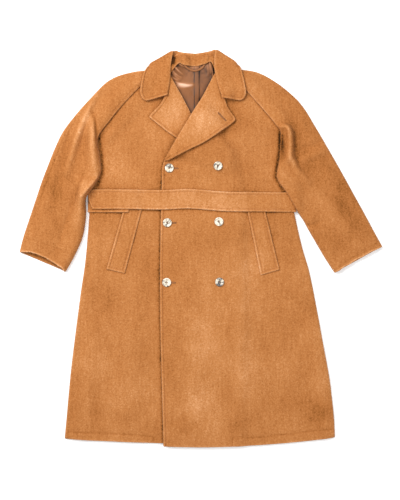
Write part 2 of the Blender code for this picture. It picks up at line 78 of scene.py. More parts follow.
UNDERSIDE = 2.0  # points below this height face the surface that the coat lies on
SEWN_WIDTH = 30.0  # distance from a seam over which a panel comes down to what it's sewn to
SEWN_REACH = 2.5
SEWN_DROP = 2.0  # how far a sewn edge comes down onto the edge under it
CORNER = 11.0  # radius of the collar's points
CREASE_CORNER = 12.0  # radius of the collar's crease where it turns over the shoulder
EDGE_CORNER = 24.0  # radius of its edge there
COLLAR_ROLL = 2.5  # how far the leaf of the collar stands above its crease
ROLL_OUT = np.array([3.2, 2.9, 2.2, 1.2])  # how far past the roll line a lapel bulges as it turns
ROLL_DOWN = np.array([4.4, 3.0, 1.6, 0.6])
PEAK_SOFTNESS = 7.0
RIM_SQUEEZE = 0.72  # share of its thickness that cloth keeps at its rim
HOLLOW_WAYS = 12  # directions in which a hollow's walls are looked for
SLACK_ROUND = 60.0  # distance from an edge over which the slack of a front sets in
SEWN_DROP_WIDTH = 4.0
CURL_FADE = 40.0  # distance below the armpit over which the lift of a side seam sets in
HEM_LEVEL = -600.0  # y from which the nap of the back sets in
HEM_FADE = 40.0

# Shares of the nap's relief: small and turned pieces, the stand, the underside of a sleeve
SOFT_NAP = 0.7
STAND_NAP = 0.5
UNDER_NAP = 0.3

# Sleeves
SLEEVE_SLACK = 0.6  # share of a front's slack
SLEEVE_FOLD_EASE = (12.0, 6.0)  # distances from overarm seam and inner fold over which folds set in
ARMPIT_BELOW = 30.0  # how far below the armpit the inner fold starts to turn into a seam
ARMPIT_SPAN = 70.0  # distance over which it does
RAGLAN_ROLL = 0.7  # share of a turned edge's fullness along the raglan seam
RAGLAN_DENT = 0.5
RAGLAN_THIN = 1.3  # how much thinner a sleeve is at its raglan seam
RAGLAN_THIN_WIDTH = 5.0
CUFF_WAVE_REACH = 12.0
CUFF_HIGHLIGHT = 0.5  # painted highlight along the edge of a cuff
CUFF_HIGHLIGHT_WIDTH = 4.0

# Lapels, welts and worked holes
LAPEL_LOFT = 2.5
LAPEL_ROUND = 12.0  # distance from the roll line over which a lapel rises to its loft
LAPEL_END = 30.0  # distance from an end over which its roll forms
LAPEL_FREE = 30.0  # distance from the roll line over which its edge comes free
WELT_LIFT = 0.7  # share of a free edge's lift along the open edge of a welt
HOLE_EDGE = 1.5  # half the width of a worked buttonhole
HOLE_THREAD = 0.7  # radius of the thread round it
BUTTON_THREAD = 0.32  # radius of the thread that holds a button

# Lining
PLEAT_EDGES = (-18.6, -3.6)  # x of the two edges of its pleat
PLEAT_SHARPNESS = 0.7
PLEAT_SEAM = 1.3
PLEAT_HEIGHT = 0.7
LOOP_LOFT = 1.6
LOOP_REACH = 5.0

# Collar
LEAF_STEPS = [0, 0.12, 0.5, 1, 1.5, 2, 2.5, 3, 3.5, 3.88, 4]  # rows along its leaf
LEAF_RISE = 14.0  # distance from the crease over which the leaf rises
LEAF_FADE = 40.0  # distance over which the leaf's lift fades towards the turn
COLLAR_STEPS = 24  # columns across it, between its bands
COLLAR_SHOWN = 0.55  # share of its length that lies on top of the coat

# Belt
BELT_STEPS = 9  # columns across it, between its bands
BELT_END_REACH = 20.0
BELT_EDGE = 0.6  # share of a turned edge's lift and fullness
BELT_LIFT_PACE = 1.6  # how much sooner its edge comes down than others
BELT_SEAM = 0.4
BELT_WIDTH = 57.0
BELT_SHARES = np.array([-0.5, -0.38, 0.0, 0.38, 0.5])
BELT_TURN = 6.0
BELT_TIP = 17.0
BELT_TIP_AT = 14.0
COLLAR_FALL = 90.0
COLLAR_SHARES = np.array([0, 0.1, 0.1 + 0.8 / 3, 0.1 + 1.6 / 3, 0.9, 1])
LOOP_WIDTH = 6.0
BUTTON_DIAMETER = 26.5
BUTTON_THICKNESS = 4.2
BUTTON_SIDES = 48
THREAD_HOLE = 2.4
THREAD_SPACING = 5.6
THREAD_RING = np.linspace(0, 2 * np.pi, 7)[:-1]  # angles of the points round a thread
STITCH_PITCH = 4.2
STITCH_LENGTH = 3.2
STITCH_WIDTH = 0.8

# Picture: 400 by 500 pixels of 3 mm, straight down
CAMERA_HEIGHT = 3.2
PICTURE_CENTRE = (-0.0025, -0.0074)
PICTURE_LONG_SIDE = 1.5
SENSOR = 36.0
SKY_STRENGTH = 0.46
LIGHTS = {"key": ((-1.6, 1.5, 2.7), 2.2, 138), "fill": ((1.8, -0.6, 2.8), 2.4, 38)}  # place, side, power
FLOOR_HALF = 6.0
FLOOR_LEVEL = -0.0008

Section = namedtuple("Section", "place x0 y0 x1 y1 bow", defaults=(0,))
SleeveSection = namedtuple("SleeveSection", "place outer_x outer_y fold_x fold_y under_x under_y loft")
CollarSection = namedtuple("CollarSection", "place crease_x crease_y edge_x edge_y lies")
Fold = namedtuple("Fold", "x0 y0 xm ym x1 y1 half_width height")
LinePoint = namedtuple("LinePoint", "place x y")
Groove = namedtuple("Groove", "points half_width depth shade")
Tone = namedtuple("Tone", "x y reach_x reach_y strength")
Cut = namedtuple("Cut", "width length area rests_on")
Hole = namedtuple("Hole", "width depth shade")
Lie = namedtuple("Lie", "spacing reach")


def rows_of(kind, *rows):
    """Rows of a table, with their fields named."""
    return [kind(*row) for row in rows]


# Back, from hem to neck: right seam, left seam
BACK = rows_of(
    Section,
    ("hem", -402, -567, 398, -563, -18),
    ("shin", -397, -500, 395, -503, -8),
    ("knee", -386, -380, 383, -395),
    ("thigh", -371, -256, 363, -285),
    ("hip", -356, -140, 342, -172),
    ("pocket", -344, -60, 322, -76),
    ("seat", -336, 20, 301, 0),
    ("waist", -330, 110, 276, 108),
    ("rib", -325, 190, 269, 175),
    ("chest", -315, 250, 257, 240),
    ("armpit", -306, 319, 240, 340),
    ("blade", -262, 388, 205, 388),
    ("yoke", -205, 450, 150, 450),
    ("shoulder", -140, 508, 95, 508),
    ("neck", -76, 549, 45, 551, -9),
)

# Right front, from hem to neck: side and raglan seam, then leading edge and roll line
FRONT_RIGHT = rows_of(
    Section,
    ("hem", -406, -575, 104, -591, -4),
    ("shin", -399, -500, 107, -510),
    ("knee", -388, -380, 109, -390),
    ("thigh", -373, -256, 110, -262),
    ("hip", -358, -140, 110, -142),
    ("pocket", -346, -60, 109, -50),
    ("seat", -338, 20, 108, 30),
    ("waist", -331, 110, 104, 120),
    ("rib", -326, 190, 92, 200),
    ("break", -317, 255, 77, 254),
    ("armpit", -310, 322, 20, 330),
    ("chest", -281, 376, -29, 391),
    ("collarbone", -241, 427, -54, 438),
    ("shoulder", -186, 482, -75, 478),
    ("neck", -118, 527, -95, 515),
)

# Left front, which laps over the right one
FRONT_LEFT = rows_of(
    Section,
    ("hem", 402, -571, -110, -597, -11),
    ("shin", 398, -505, -112, -515, -6),
    ("knee", 386, -400, -115, -400),
    ("thigh", 366, -290, -118, -285),
    ("hip", 345, -175, -120, -170),
    ("pocket", 325, -76, -120, -60),
    ("seat", 303, 0, -119, 20),
    ("waist", 278, 110, -117, 105),
    ("rib", 271, 175, -115, 180),
    ("break", 258, 240, -110, 249),
    ("bust", 249, 295, -70, 319),
    ("armpit", 244, 346, -27, 390),
    ("collarbone", 178, 430, 8, 446),
    ("shoulder", 133, 481, 29, 484),
    ("neck", 82, 535, 46, 519),
)

# Sleeves, from cuff to neck: overarm seam, inner edge on top, inner edge underneath
SLEEVE_RIGHT = rows_of(
    SleeveSection,
    ("cuff", -541, -16, -404, -74, -404, -74, 14),
    ("wrist", -529, 31, -377, -26, -377, -26, 13),
    ("forearm", -511, 85, -354, 28, -354, 28, 12),
    ("below elbow", -493, 139, -344, 86, -344, 86, 12),
    ("elbow", -475, 193, -343, 140, -344, 140, 12),
    ("above elbow", -457, 240, -318, 180, -338, 184, 12),
    ("upper arm", -437, 290, -297, 224, -328, 234, 12),
    ("biceps", -412, 342, -302, 276, -320, 284, 11),
    ("armpit", -376, 391, -306, 325, -312, 328, 9),
    ("cap", -328, 445, -271, 376, -255, 383, 7),
    ("shoulder point", -272, 498, -228, 429, -199, 445, 5),
    ("shoulder", -203, 522, -172, 484, -134, 503, 3),
    ("neck", -122, 527, -112, 519, -74, 543, 0),
)
SLEEVE_LEFT = rows_of(
    SleeveSection,
    ("cuff", 543, 1, 402, -78, 402, -78, 10),
    ("wrist", 516, 50, 374, -35, 374, -35, 10),
    ("forearm", 487, 104, 344, 16, 344, 16, 10),
    ("below elbow", 457, 158, 315, 67, 315, 67, 11),
    ("elbow", 428, 211, 288, 108, 297, 108, 11),
    ("above elbow", 398, 264, 259, 158, 295, 160, 11),
    ("upper arm", 367, 318, 229, 205, 274, 208, 11),
    ("biceps", 338, 367, 236, 262, 264, 262, 10),
    ("armpit", 311, 412, 240, 335, 248, 338, 9),
    ("cap", 283, 445, 222, 367, 199, 382, 7),
    ("shoulder point", 231, 488, 174, 425, 144, 444, 5),
    ("shoulder", 167, 522, 128, 475, 89, 502, 3),
    ("neck", 94, 530, 80, 523, 43, 545, 0),
)
CUFF_SETBACK = {"right": 17.0, "left": 3.0}
CUFF_WAVE = 2.0  # how uneven the edge of a cuff is

# Lapels, from gorge to break: roll line, free edge
LAPEL_RIGHT = rows_of(
    Section,
    ("gorge", -95, 516, -104, 449),
    ("notch", -74, 476, -124, 419),
    ("peak", -53, 438, -151, 391),
    ("under peak", -28, 391, -144, 380),
    ("breast", -4, 350, -94, 340),
    ("chest", 23, 311, -45, 309),
    ("low", 50, 281, 5, 284),
    ("break", 74, 256, 68, 250),
)
LAPEL_LEFT = rows_of(
    Section,
    ("gorge", 46, 520, 70, 446),
    ("notch", 28, 484, 83, 411),
    ("peak", 8, 446, 103, 384),
    ("under peak", -27, 390, 97, 371),
    ("breast", -52, 348, 62, 345),
    ("chest", -71, 317, 12, 311),
    ("low", -92, 281, -37, 287),
    ("break", -107, 256, -96, 257),
)

# Collar halves, from the notch over the shoulder to the centre back
COLLAR_RIGHT = rows_of(
    CollarSection,
    ("notch", -99, 451, -168, 433, "top"),
    ("leaf", -93, 481, -179, 457, "top"),
    ("gorge", -90, 511, -177, 481, "top"),
    ("neck side", -89, 541, -172, 507, "top"),
    ("shoulder", -85, 568, -165, 529, "top"),
    ("turn", -79, 589, -163, 541, "turn"),
    ("behind", -67, 584, -141, 519, "floor"),
    ("blade", -52, 581, -103, 502, "floor"),
    ("nape", -32, 579, -58, 493, "floor"),
    ("centre back", -15.15, 577.5, -15.15, 490, "floor"),
)
COLLAR_LEFT = rows_of(
    CollarSection,
    ("notch", 65, 443, 125, 435, "top"),
    ("leaf", 57, 469, 135, 455, "top"),
    ("gorge", 48, 499, 132, 481, "top"),
    ("neck side", 42, 532, 127, 505, "top"),
    ("shoulder", 42, 566, 122, 527, "top"),
    ("turn", 45, 592, 119.5, 543, "turn"),
    ("behind", 35, 587, 97, 523, "floor"),
    ("blade", 19, 583, 61, 502, "floor"),
    ("nape", 2, 580, 22, 494, "floor"),
    ("centre back", -14.85, 577.5, -14.85, 490, "floor"),
)

# Collar stand, inside the neck from right to left: crease, neck seam
COLLAR_STAND = rows_of(
    Section,
    ("right neck", -98, 541, -89, 520),
    ("right end", -79, 571, -66, 547),
    ("right", -52, 579, -50, 543),
    ("centre back", -15, 576, -15, 540),
    ("left", 19, 581, 16, 547),
    ("left end", 38, 576, 32, 552),
    ("left neck", 53, 545, 45, 523),
)

# Back lining, where the open neck shows it
LINING = rows_of(
    Section,
    ("under the breast", -75, 345, 35, 345),
    ("breast", -90, 420, 45, 420),
    ("chest", -104, 490, 60, 490),
    ("neck", -88, 556, 52, 560, -13),
)

# Hanger loop: middle line from right to left, its ends under the stand
HANGER_LOOP = rows_of(
    LinePoint,
    ("right end", -52, 556),
    ("right", -43, 537),
    ("low", -18, 526),
    ("left", 6, 536),
    ("left end", 16, 557),
)

# Pocket welts, from the belt down: open edge, stitched edge
WELT_RIGHT = rows_of(Section, ("top", -227, 118, -174, 118), ("foot", -280, -67, -227, -80))
WELT_LEFT = rows_of(Section, ("top", 190, 116, 139, 116), ("foot", 235, -69, 180, -85))

# Belt: middle line of the stretch across the front, and of the end that comes round the right side
BELT_FRONT = rows_of(
    LinePoint,
    ("left side", 280, 132),
    ("left pocket", 190, 133),
    ("left button", 75, 134),
    ("middle", -30, 142),
    ("leading edge", -112, 139),
    ("right pocket", -226, 141),
    ("right side", -322, 141),
)
BELT_END = rows_of(LinePoint, ("cut end", -215, 131), ("right side", -330, 131))

# Buttons, wearer's right column then left column, from the top: place, and share of dark marks
BUTTONS = {
    "button_right_top": (-93, 234, 0.35),
    "button_right_middle": (-99, 71, 0.50),
    "button_right_low": (-101, -107, 0.10),
    "button_left_top": (52, 240, 0.30),
    "button_left_middle": (55, 74, 0.20),
    "button_left_low": (57, -106, 0.65),
}
BUTTONHOLE = ((5, 0), (25, -1))  # ends of the slit beside each right-hand button, from its middle
LAPEL_BUTTONHOLE = ((54, 398), (75, 376))
FRONT_HOLE = Hole(1.6, 1.6, 2.5)
LAPEL_HOLE = Hole(1.4, 1.2, 1.6)

# Folds as ridges along a bent line, or troughs where the height is negative
FOLDS = {
    "sleeve_right_front": rows_of(
        Fold,
        (-306, 468, -362, 360, -400, 222, 11, 10),
        (-336, 470, -386, 388, -420, 300, 11, 5),
        (-322, 378, -324, 300, -314, 222, 13, 12),
        (-345, 190, -362, 140, -366, 60, 16, 9),
        (-306, 208, -324, 182, -352, 150, 7, 8),
        (-376, 390, -412, 270, -436, 140, 13, -5),
        (-346, 360, -352, 290, -356, 216, 12, -3),
        (-352, 216, -374, 150, -420, 20, 8, -4.5),
        (-316, 396, -311, 350, -308, 318, 5, -6),
        (-470, 110, -455, 60, -460, 10, 26, 4),
    ),
    "sleeve_left_front": rows_of(
        Fold,
        (238, 356, 262, 366, 268, 330, 8, 10),
        (262, 346, 272, 306, 262, 258, 10, 13),
        (262, 280, 268, 258, 290, 240, 9, 7),
        (284, 340, 281, 290, 292, 238, 6, -5),
        (244, 330, 247, 298, 246, 262, 5, -9),
        (294, 298, 322, 284, 366, 320, 10, -4),
        (296, 260, 326, 264, 376, 292, 12, 5),
        (266, 258, 280, 230, 322, 192, 11, 7),
        (236, 232, 250, 205, 290, 180, 9, 4),
        (310, 190, 390, 95, 480, 5, 28, 7),
        (404, 190, 444, 110, 496, 40, 20, -5),
        (296, 70, 326, 54, 352, 72, 8, -4),
    ),
    "front_left": rows_of(
        Fold,
        (118, -60, 138, -320, 150, -590, 40, 4),
        (340, -230, 366, -400, 380, -570, 26, 5),
        (-40, -180, -22, -400, -14, -595, 38, 3.5),
    ),
    "front_right": rows_of(
        Fold,
        (-320, -240, -338, -400, -350, -572, 30, 4.5),
        (-205, -210, -212, -400, -220, -580, 36, 3.5),
    ),
    "lining": rows_of(
        Fold,
        (-72, 492, -48, 476, -24, 484, 5, 5),
        (-80, 544, -72, 528, -54, 516, 3, 5),
        (-88, 534, -78, 514, -58, 506, 3, 5),
        (-94, 516, -82, 500, -66, 498, 3, 5),
        (-74, 470, -66, 452, -62, 436, 3, 3),
        (-70, 552, -60, 541, -46, 538, 2.2, 5),
        (-90, 526, -76, 506, -60, 500, 2.2, 4),
        (26, 553, 29, 538, 30, 518, 2.2, 5),
        (30, 548, 37, 526, 38, 496, 3, 5),
        (20, 545, 24, 530, 22, 512, 3, 3),
    ),
    "collar_stand": rows_of(
        Fold,
        (-64, 575, -60, 560, -60, 545, 3, 2.5),
        (-50, 578, -46, 562, -47, 545, 3, 2),
        (22, 580, 18, 565, 18, 548, 3, 2.5),
        (8, 578, 4, 562, 6, 548, 3, 2),
    ),
}

# Where the left front's leading edge lies on the right front; a line of painted shadow runs along it
LEADING_EDGE = tuple((row.x1 - 3, row.y1) for row in FRONT_LEFT[:10])

# Seam lines, the top of the turned-up hem, and the dips beside the sleeves, painted with shade;
# lines of painted shadow beside the leading edge and under the belt. A ridge has negative depth and shade,
# painted lighter.
GROOVES = {
    "front_right": rows_of(
        Groove,
        (((-398, -553), (-270, -559), (-143, -568), (-140, -592)), 2.2, 1.0, 1.8),
        # Painted shadow beside the left front's leading edge
        (LEADING_EDGE, 4.5, 0.3, 1.5),
        # Painted shadow under the belt and under its end
        (((-126, 108), (-170, 109), (-212, 110)), 3.0, 0.2, 1.5),
        (((-216, 99), (-270, 100), (-328, 100)), 3.0, 0.2, 1.2),
        # Painted shade in the dip beside the right sleeve
        (((-304, 338), (-299, 300), (-294, 262), (-291, 224), (-306, 184)), 5.0, 1.5, 2.6),
    ),
    "front_left": rows_of(
        Groove,
        (((94, -598), (95, -571), (184, -570), (290, -557), (404, -545)), 2.2, 1.0, 1.8),
        # A soft crease over the edge of the right front under it, with painted shade
        (((103, 226), (104, 200), (103, 172)), 3.0, 0.6, 0.6),
        # Painted shade in the dip beside the left sleeve
        (((238, 340), (236, 300), (232, 262), (224, 206), (236, 182), (262, 144)), 5.5, 2.0, 2.9),
        # Painted shadow under the belt
        (((280, 101), (190, 102), (75, 103), (-30, 111), (-112, 108)), 3.0, 0.2, 1.5),
    ),
    "sleeve_left_front": rows_of(
        Groove,
        # Painted shade in the gap between the sleeve's fold and the front
        (((234, 340), (238, 322), (239, 298), (235, 264)), 7.0, 0.5, 3.6),
        (((525, 10), (470, -24), (412, -58)), 1.8, 0.8, 1.0),
    ),
    "sleeve_right_front": rows_of(
        Groove,
        # Painted shade where the raglan seam runs under the sleeve's fold
        (((-326, 404), (-315, 376), (-308, 340)), 5.0, 0.5, 1.6),
        # Overarm seam: two ridges with painted highlights round a darker groove
        (((-352, 424), (-398, 340), (-438, 240), (-474, 140)), 1.8, -0.8, -1.6),
        (((-357, 424), (-403, 340), (-443, 240), (-479, 140)), 1.8, 1.0, 1.2),
        (((-362, 424), (-408, 340), (-448, 240), (-484, 140)), 1.8, -0.8, -1.6),
        (((-520, 28), (-460, 6), (-396, -20)), 2.5, 0.6, 0.5),
    ),
}

# Soft patches painted lighter or darker on the cloth
TONES = {
    "camel": rows_of(
        Tone,
        (12, -280, 75, 125, 0.40),
        (0, -470, 75, 70, 0.33),
        (185, -70, 60, 30, 0.35),
        (-360, -250, 30, 60, 0.30),
        (-155, -440, 40, 50, 0.25),
        (365, -495, 50, 40, -0.75),
        (-316, -470, 20, 80, -0.35),
        (-40, -530, 38, 26, -0.35),
        (105, -535, 26, 20, -0.30),
        (300, -220, 45, 120, -0.25),
        (125, 375, 40, 40, -0.30),
        (-435, 180, 25, 50, -0.25),
        (440, 80, 80, 110, -0.33),
        (380, 180, 80, 170, -0.28),
        (290, 330, 60, 90, -0.25),
        (-450, 100, 60, 130, -0.25),
        (-350, 375, 30, 50, 0.45),
        (-15, 560, 60, 18, -0.12),
    ),
    "lapel": rows_of(
        Tone,
        (10, 385, 100, 90, 0.72),
        (-85, 385, 50, 60, 0.25),
    ),
    "belt": rows_of(
        Tone,
        (-30, 140, 300, 60, 0.45),
    ),
    "collar": rows_of(
        Tone,
        (-140, 490, 60, 60, -0.25),
        (90, 490, 60, 60, 0.03),
    ),
    # Painted shade at both ends of the stand, where the collar shuts off the light
    "stand": rows_of(
        Tone,
        (-83, 556, 8, 14, -4.0),
        (46, 545, 6, 12, -1.5),
    ),
    # Painted highlights on a fold and inside the hanger loop, painted shade beside the collar, and a darker
    # stretch on the left
    "lining": rows_of(
        Tone,
        (-52, 482, 26, 7, 1.6),
        (-18, 541, 14, 8, 1.4),
        (-92, 526, 9, 12, -1.4),
        (42, 530, 8, 16, -1.0),
        (25, 450, 30, 90, -0.7),
    ),
}

# Spacing of a piece's points, and the reach within which it clears what lies under it
LIES = {
    "back": Lie(7.0, 30),
    "front": Lie(3.7, 24),
    "sleeve_back": Lie(6.0, 20),
    "sleeve_front": Lie(4.0, 20),
    "lapel": Lie(3.5, 12),
    "welt": Lie(4.0, 16),
    "lining": Lie(2.5, 15),
    "stand": Lie(3.0, 10),
    "collar": Lie(3.5, 12),
    "belt": Lie(4.0, 22),
}


def catmull_rom(table, at):
    """Rows of the table at fractional row numbers, on a smooth curve through every row."""
    table = np.asarray(table, float)
    padded = np.concatenate([2 * table[:1] - table[1:2], table, 2 * table[-1:] - table[-2:-1]])
    at = np.asarray(at, float)
    row = np.clip(np.floor(at).astype(int), 0, len(table) - 2)
    t = (at - row).reshape(-1, *[1] * (table.ndim - 1))
    before, start, end, after = (padded[row + k] for k in range(4))
    return 0.5 * (
        2 * start
        + (end - before) * t
        + (2 * before - 5 * start + 4 * end - after) * t**2
        + (3 * start - before - 3 * end + after) * t**3
    )


def lengths(line):
    """Distance along a line at each of its points."""
    return np.concatenate([[0], np.cumsum(np.linalg.norm(np.diff(line, axis=0), axis=1))])


def unit(vectors):
    return vectors / np.maximum(np.linalg.norm(vectors, axis=-1, keepdims=True), 1e-9)


def distances(length, count, first, last):
    """Distances across a length: first from its start, last from its end, and even steps between."""
    shrink = min(1.0, 0.8 * length / max(first[-1] + last[-1], 1e-9))
    first, last = first * shrink, last * shrink
    between = np.linspace(first[-1], length - last[-1], count + 1)
    return np.concatenate([first[:-1], between, length - last[-2::-1]])


def band(fine, skew=1.0):
    """Rows of points along an edge: close together where it is turned and stitched."""
    return BAND / skew if fine else BAND[:1]


def edge_skew(edge, section):
    """Sine of the angle between an edge and the sections that end on it."""
    along, over = unit(np.gradient(edge, axis=0)), unit(section)
    return np.clip(np.abs(along[:, 0] * over[:, 1] - along[:, 1] * over[:, 0]), 0.4, 1)


def panel_grid(rows, spacing, fine=(), softness=0.0):
    """Grid of x, y points of a panel, with close rows along the edges in fine and a softened far edge."""
    table = [row[1:6] for row in rows]
    steps = np.linspace(0, len(rows) - 1, 60 * (len(rows) - 1) + 1)
    at = catmull_rom(table, steps)
    length = lengths((at[:, 0:2] + at[:, 2:4]) / 2)
    count = math.ceil(length[-1] / spacing)
    places = distances(length[-1], count, band("start" in fine), band("end" in fine))
    at = catmull_rom(table, np.interp(places, length, steps))
    start, end, bow = at[:, 0:2], at[:, 2:4], at[:, 4]
    for _ in range(round(2 * (softness / spacing) ** 2)):
        end[1:-1] = end[:-2] / 4 + end[1:-1] / 2 + end[2:] / 4
    width = np.linalg.norm(end - start, axis=1)
    count = math.ceil(width.max() / spacing)
    near, far = edge_skew(start, end - start), edge_skew(end, end - start)
    share = np.array(
        [
            distances(w, count, band("near" in fine, a), band("far" in fine, b)) / w
            for w, a, b in zip(width, near, far)
        ]
    )
    xy = start[:, None] + (end - start)[:, None] * share[..., None]
    xy[..., 1] += bow[:, None] * 4 * share * (1 - share)
    return xy


def rise(distance, radius):
    """Quarter ellipse: 0 at an edge, 1 from radius inwards."""
    return np.sqrt(np.clip(1 - (1 - np.clip(distance / radius, 0, 1)) ** 2, 0, 1))


def fading(distance, width):
    """Bell curve: 1 at no distance, and nearly 0 from twice the width on."""
    return np.exp(-((distance / width) ** 2))


def edge_distances(xy):
    """Distance of each point of a grid from its first and last column."""
    return np.linalg.norm(xy - xy[:, :1], axis=2), np.linalg.norm(xy - xy[:, -1:], axis=2)


def apart(xy, line):
    """Distance of each point of a grid from a line."""
    line = np.asarray(line, float)
    length = lengths(line)
    at = np.linspace(0, length[-1], max(2, math.ceil(length[-1] / 1.5)))
    x, y = (np.interp(at, length, line[:, k]) for k in (0, 1))
    return np.array([np.hypot(row[:, 0:1] - x, row[:, 1:2] - y).min(axis=1) for row in xy])


def folds_on(panel, xy):
    """Height that a panel's folds add at each point."""
    height = np.zeros(xy.shape[:2])
    share = np.linspace(0, 1, 41)
    ends = [(1 - share) ** 2, 2 * share * (1 - share), share**2]
    for fold in FOLDS[panel]:
        line_x = sum(w * p for w, p in zip(ends, (fold.x0, fold.xm, fold.x1)))
        line_y = sum(w * p for w, p in zip(ends, (fold.y0, fold.ym, fold.y1)))
        away = np.hypot(xy[..., 0, None] - line_x, xy[..., 1, None] - line_y)
        fade = np.sin(np.pi * (0.15 + 0.7 * share))
        height += fold.height * (fade * fading(away, fold.half_width)).max(axis=2)
    return height


def grooves_on(panel, xy):
    """Relief of a panel's grooves, and how much darker each point is painted for seams and shadow lines."""
    relief, seam_and_shadow = np.zeros(xy.shape[:2]), np.zeros(xy.shape[:2])
    for groove in GROOVES[panel]:
        share = fading(apart(xy, groove.points), groove.half_width)
        relief -= groove.depth * share
        seam_and_shadow += groove.shade * share
    return relief, seam_and_shadow


def turned_edge(distance):
    """Relief of a turned edge: a full roll outside the stitching, and the dent that the stitches pull."""
    half = INSET / 2
    roll = EDGE_ROLL * np.sqrt(np.clip(1 - ((distance - half) / half) ** 2, 0, 1))
    dent = fading(distance - INSET, DENT_WIDTH)
    return roll - DENT * dent, dent


def waves(xy, size, seed):
    """Smooth random field between -1 and 1, with features of the given size."""
    values = np.random.default_rng(seed).uniform(-1, 1, (256, 256))
    at = xy / size + 128
    low = np.floor(at).astype(int)
    t = at - low
    t = t * t * (3 - 2 * t)
    x, y = low[..., 0] % 256, low[..., 1] % 256
    x1, y1 = (x + 1) % 256, (y + 1) % 256
    near = values[y, x] * (1 - t[..., 0]) + values[y, x1] * t[..., 0]
    far = values[y1, x] * (1 - t[..., 0]) + values[y1, x1] * t[..., 0]
    return near * (1 - t[..., 1]) + far * t[..., 1]


def nap(xy):
    """Relief of the brushed surface: small tufts, and the softer lumps of the cloth."""
    return 0.22 * waves(xy, 9, 1) + 0.35 * waves(xy, 26, 2)


def slack(xy):
    """Lift of cloth that doesn't lie quite flat."""
    return 0.8 * (1 + waves(xy, 120, 3)) + 0.4 * (1 + waves(xy, 55, 4))


def tone_at(natures, xy):
    """How much lighter or darker each point is painted, from the patches of the named kinds of cloth."""
    tone_and_painted_light = np.zeros(xy.shape[:2])
    for nature in natures:
        for patch in TONES.get(nature, ()):
            x, y = (xy[..., 0] - patch.x) / patch.reach_x, (xy[..., 1] - patch.y) / patch.reach_y
            tone_and_painted_light += patch.strength * np.exp(-(x**2 + y**2))
    return tone_and_painted_light * (1 + 0.4 * waves(xy, 38, 6))


def border(grid):
    """Distance of each point of a grid from the nearest of its four edges."""
    rows = [np.linalg.norm(grid - grid[[k]], axis=2) for k in (0, -1)]
    columns = [np.linalg.norm(grid - grid[:, [k]], axis=2) for k in (0, -1)]
    return np.minimum.reduce(rows + columns)


def lift(distance):
    """How far cloth stands off what it lies on, near a free edge."""
    return EDGE_LIFT * fading(distance, LIFT_WIDTH)


def rim_highlight(grid):
    """Painted highlight along the edges of a piece, where the nap catches the light."""
    return RIM_HIGHLIGHT * fading(border(grid), RIM_WIDTH)


def round_corner(grid, to_first, to_second, first, second, radius):
    """Grid with one corner rounded; first and second point out of it, across the edges it lies between."""
    into = np.stack(np.broadcast_arrays(radius - to_first, radius - to_second), axis=2).clip(0)
    longest, size = into.max(axis=2), np.linalg.norm(into, axis=2)
    pull = into * (longest / np.maximum(size, 1e-9) - 1)[..., None] * (into.min(axis=2) > 0)[..., None]
    return grid + pull[..., 0:1] * first + pull[..., 1:2] * second


def refined(grid, spacing):
    """The same surface with points no further apart than spacing."""
    for axis in (0, 1):
        step = np.linalg.norm(np.diff(grid, axis=axis), axis=2).max()
        count = (grid.shape[axis] - 1) * math.ceil(step / spacing) + 1
        at = np.linspace(0, grid.shape[axis] - 1, count)
        low = np.minimum(at.astype(int), grid.shape[axis] - 2)
        share = at - low
        share = share[:, None, None] if axis == 0 else share[None, :, None]
        grid = np.take(grid, low, axis) * (1 - share) + np.take(grid, low + 1, axis) * share
    return grid


def window(height, cells, combine):
    """Height combined over a square window of cells each way."""
    for axis in (0, 1):
        height = combine([np.roll(height, k, axis) for k in range(-cells, cells + 1)], axis=0)
    return height


class Pile:
    """Height of what is laid so far, on a square grid, for the next piece to rest on."""

    CELL = 2.5
    REACH = 690.0

    def __init__(self):
        count = round(2 * self.REACH / self.CELL) + 1
        self.height = np.zeros((count, count))

    def places(self, xy):
        return (xy[..., 1] + self.REACH) / self.CELL, (xy[..., 0] + self.REACH) / self.CELL

    def add(self, top):
        fine = refined(top, self.CELL)
        row, column = (np.rint(place).astype(int) for place in self.places(fine))
        np.maximum.at(self.height, (row, column), fine[..., 2] + SEAM_GAP)

    def sample(self, height, xy):
        row, column = self.places(xy)
        i, j = np.floor(row).astype(int), np.floor(column).astype(int)
        s, t = row - i, column - j
        low = height[i, j] * (1 - t) + height[i, j + 1] * t
        high = height[i + 1, j] * (1 - t) + height[i + 1, j + 1] * t
        return low * (1 - s) + high * s

    def under(self, xy, reach, blurs=3):
        """Smooth height that clears, at each point, all that lies within reach under the piece."""
        fine = refined(np.dstack([xy, np.zeros(xy.shape[:2])]), self.CELL)
        covered = np.zeros(self.height.shape, bool)
        row, column = (np.rint(place).astype(int) for place in self.places(fine))
        covered[row, column] = True
        blur = max(1, round(reach / blurs / self.CELL))
        height = window(np.where(covered, self.height, 0), blurs * blur + 1, np.max)
        for _ in range(blurs):
            height = window(height, blur, np.mean)
        return self.sample(height, xy)


def hollowness(pile, points):
    """Share of the light from above that is shut off from points on top of the coat by what is near."""
    shut = np.zeros(len(points))
    ways = np.linspace(0, 2 * np.pi, HOLLOW_WAYS, endpoint=False)
    for way in ways:
        steep = np.zeros(len(points))
        for reach in HOLLOW_REACH:
            at = points[:, :2] + reach * np.array([math.cos(way), math.sin(way)])
            steep = np.maximum(steep, (pile.sample(pile.height, at) - SEAM_GAP - points[:, 2]) / reach)
        shut += steep**2 / (1 + steep**2)
    covered = pile.sample(pile.height, points[:, :2]) - points[:, 2] > COVERED
    return np.where(covered | (points[:, 2] < UNDERSIDE), 0.0, shut / len(ways))


def steepness(grid):
    """Length of the wall along Z over its thickness, from the slope of the surface."""
    normal = np.cross(np.gradient(grid, axis=0), np.gradient(grid, axis=1))
    return np.clip(np.linalg.norm(normal, axis=2) / np.maximum(np.abs(normal[..., 2]), 1e-9), 1.0, 1.8)


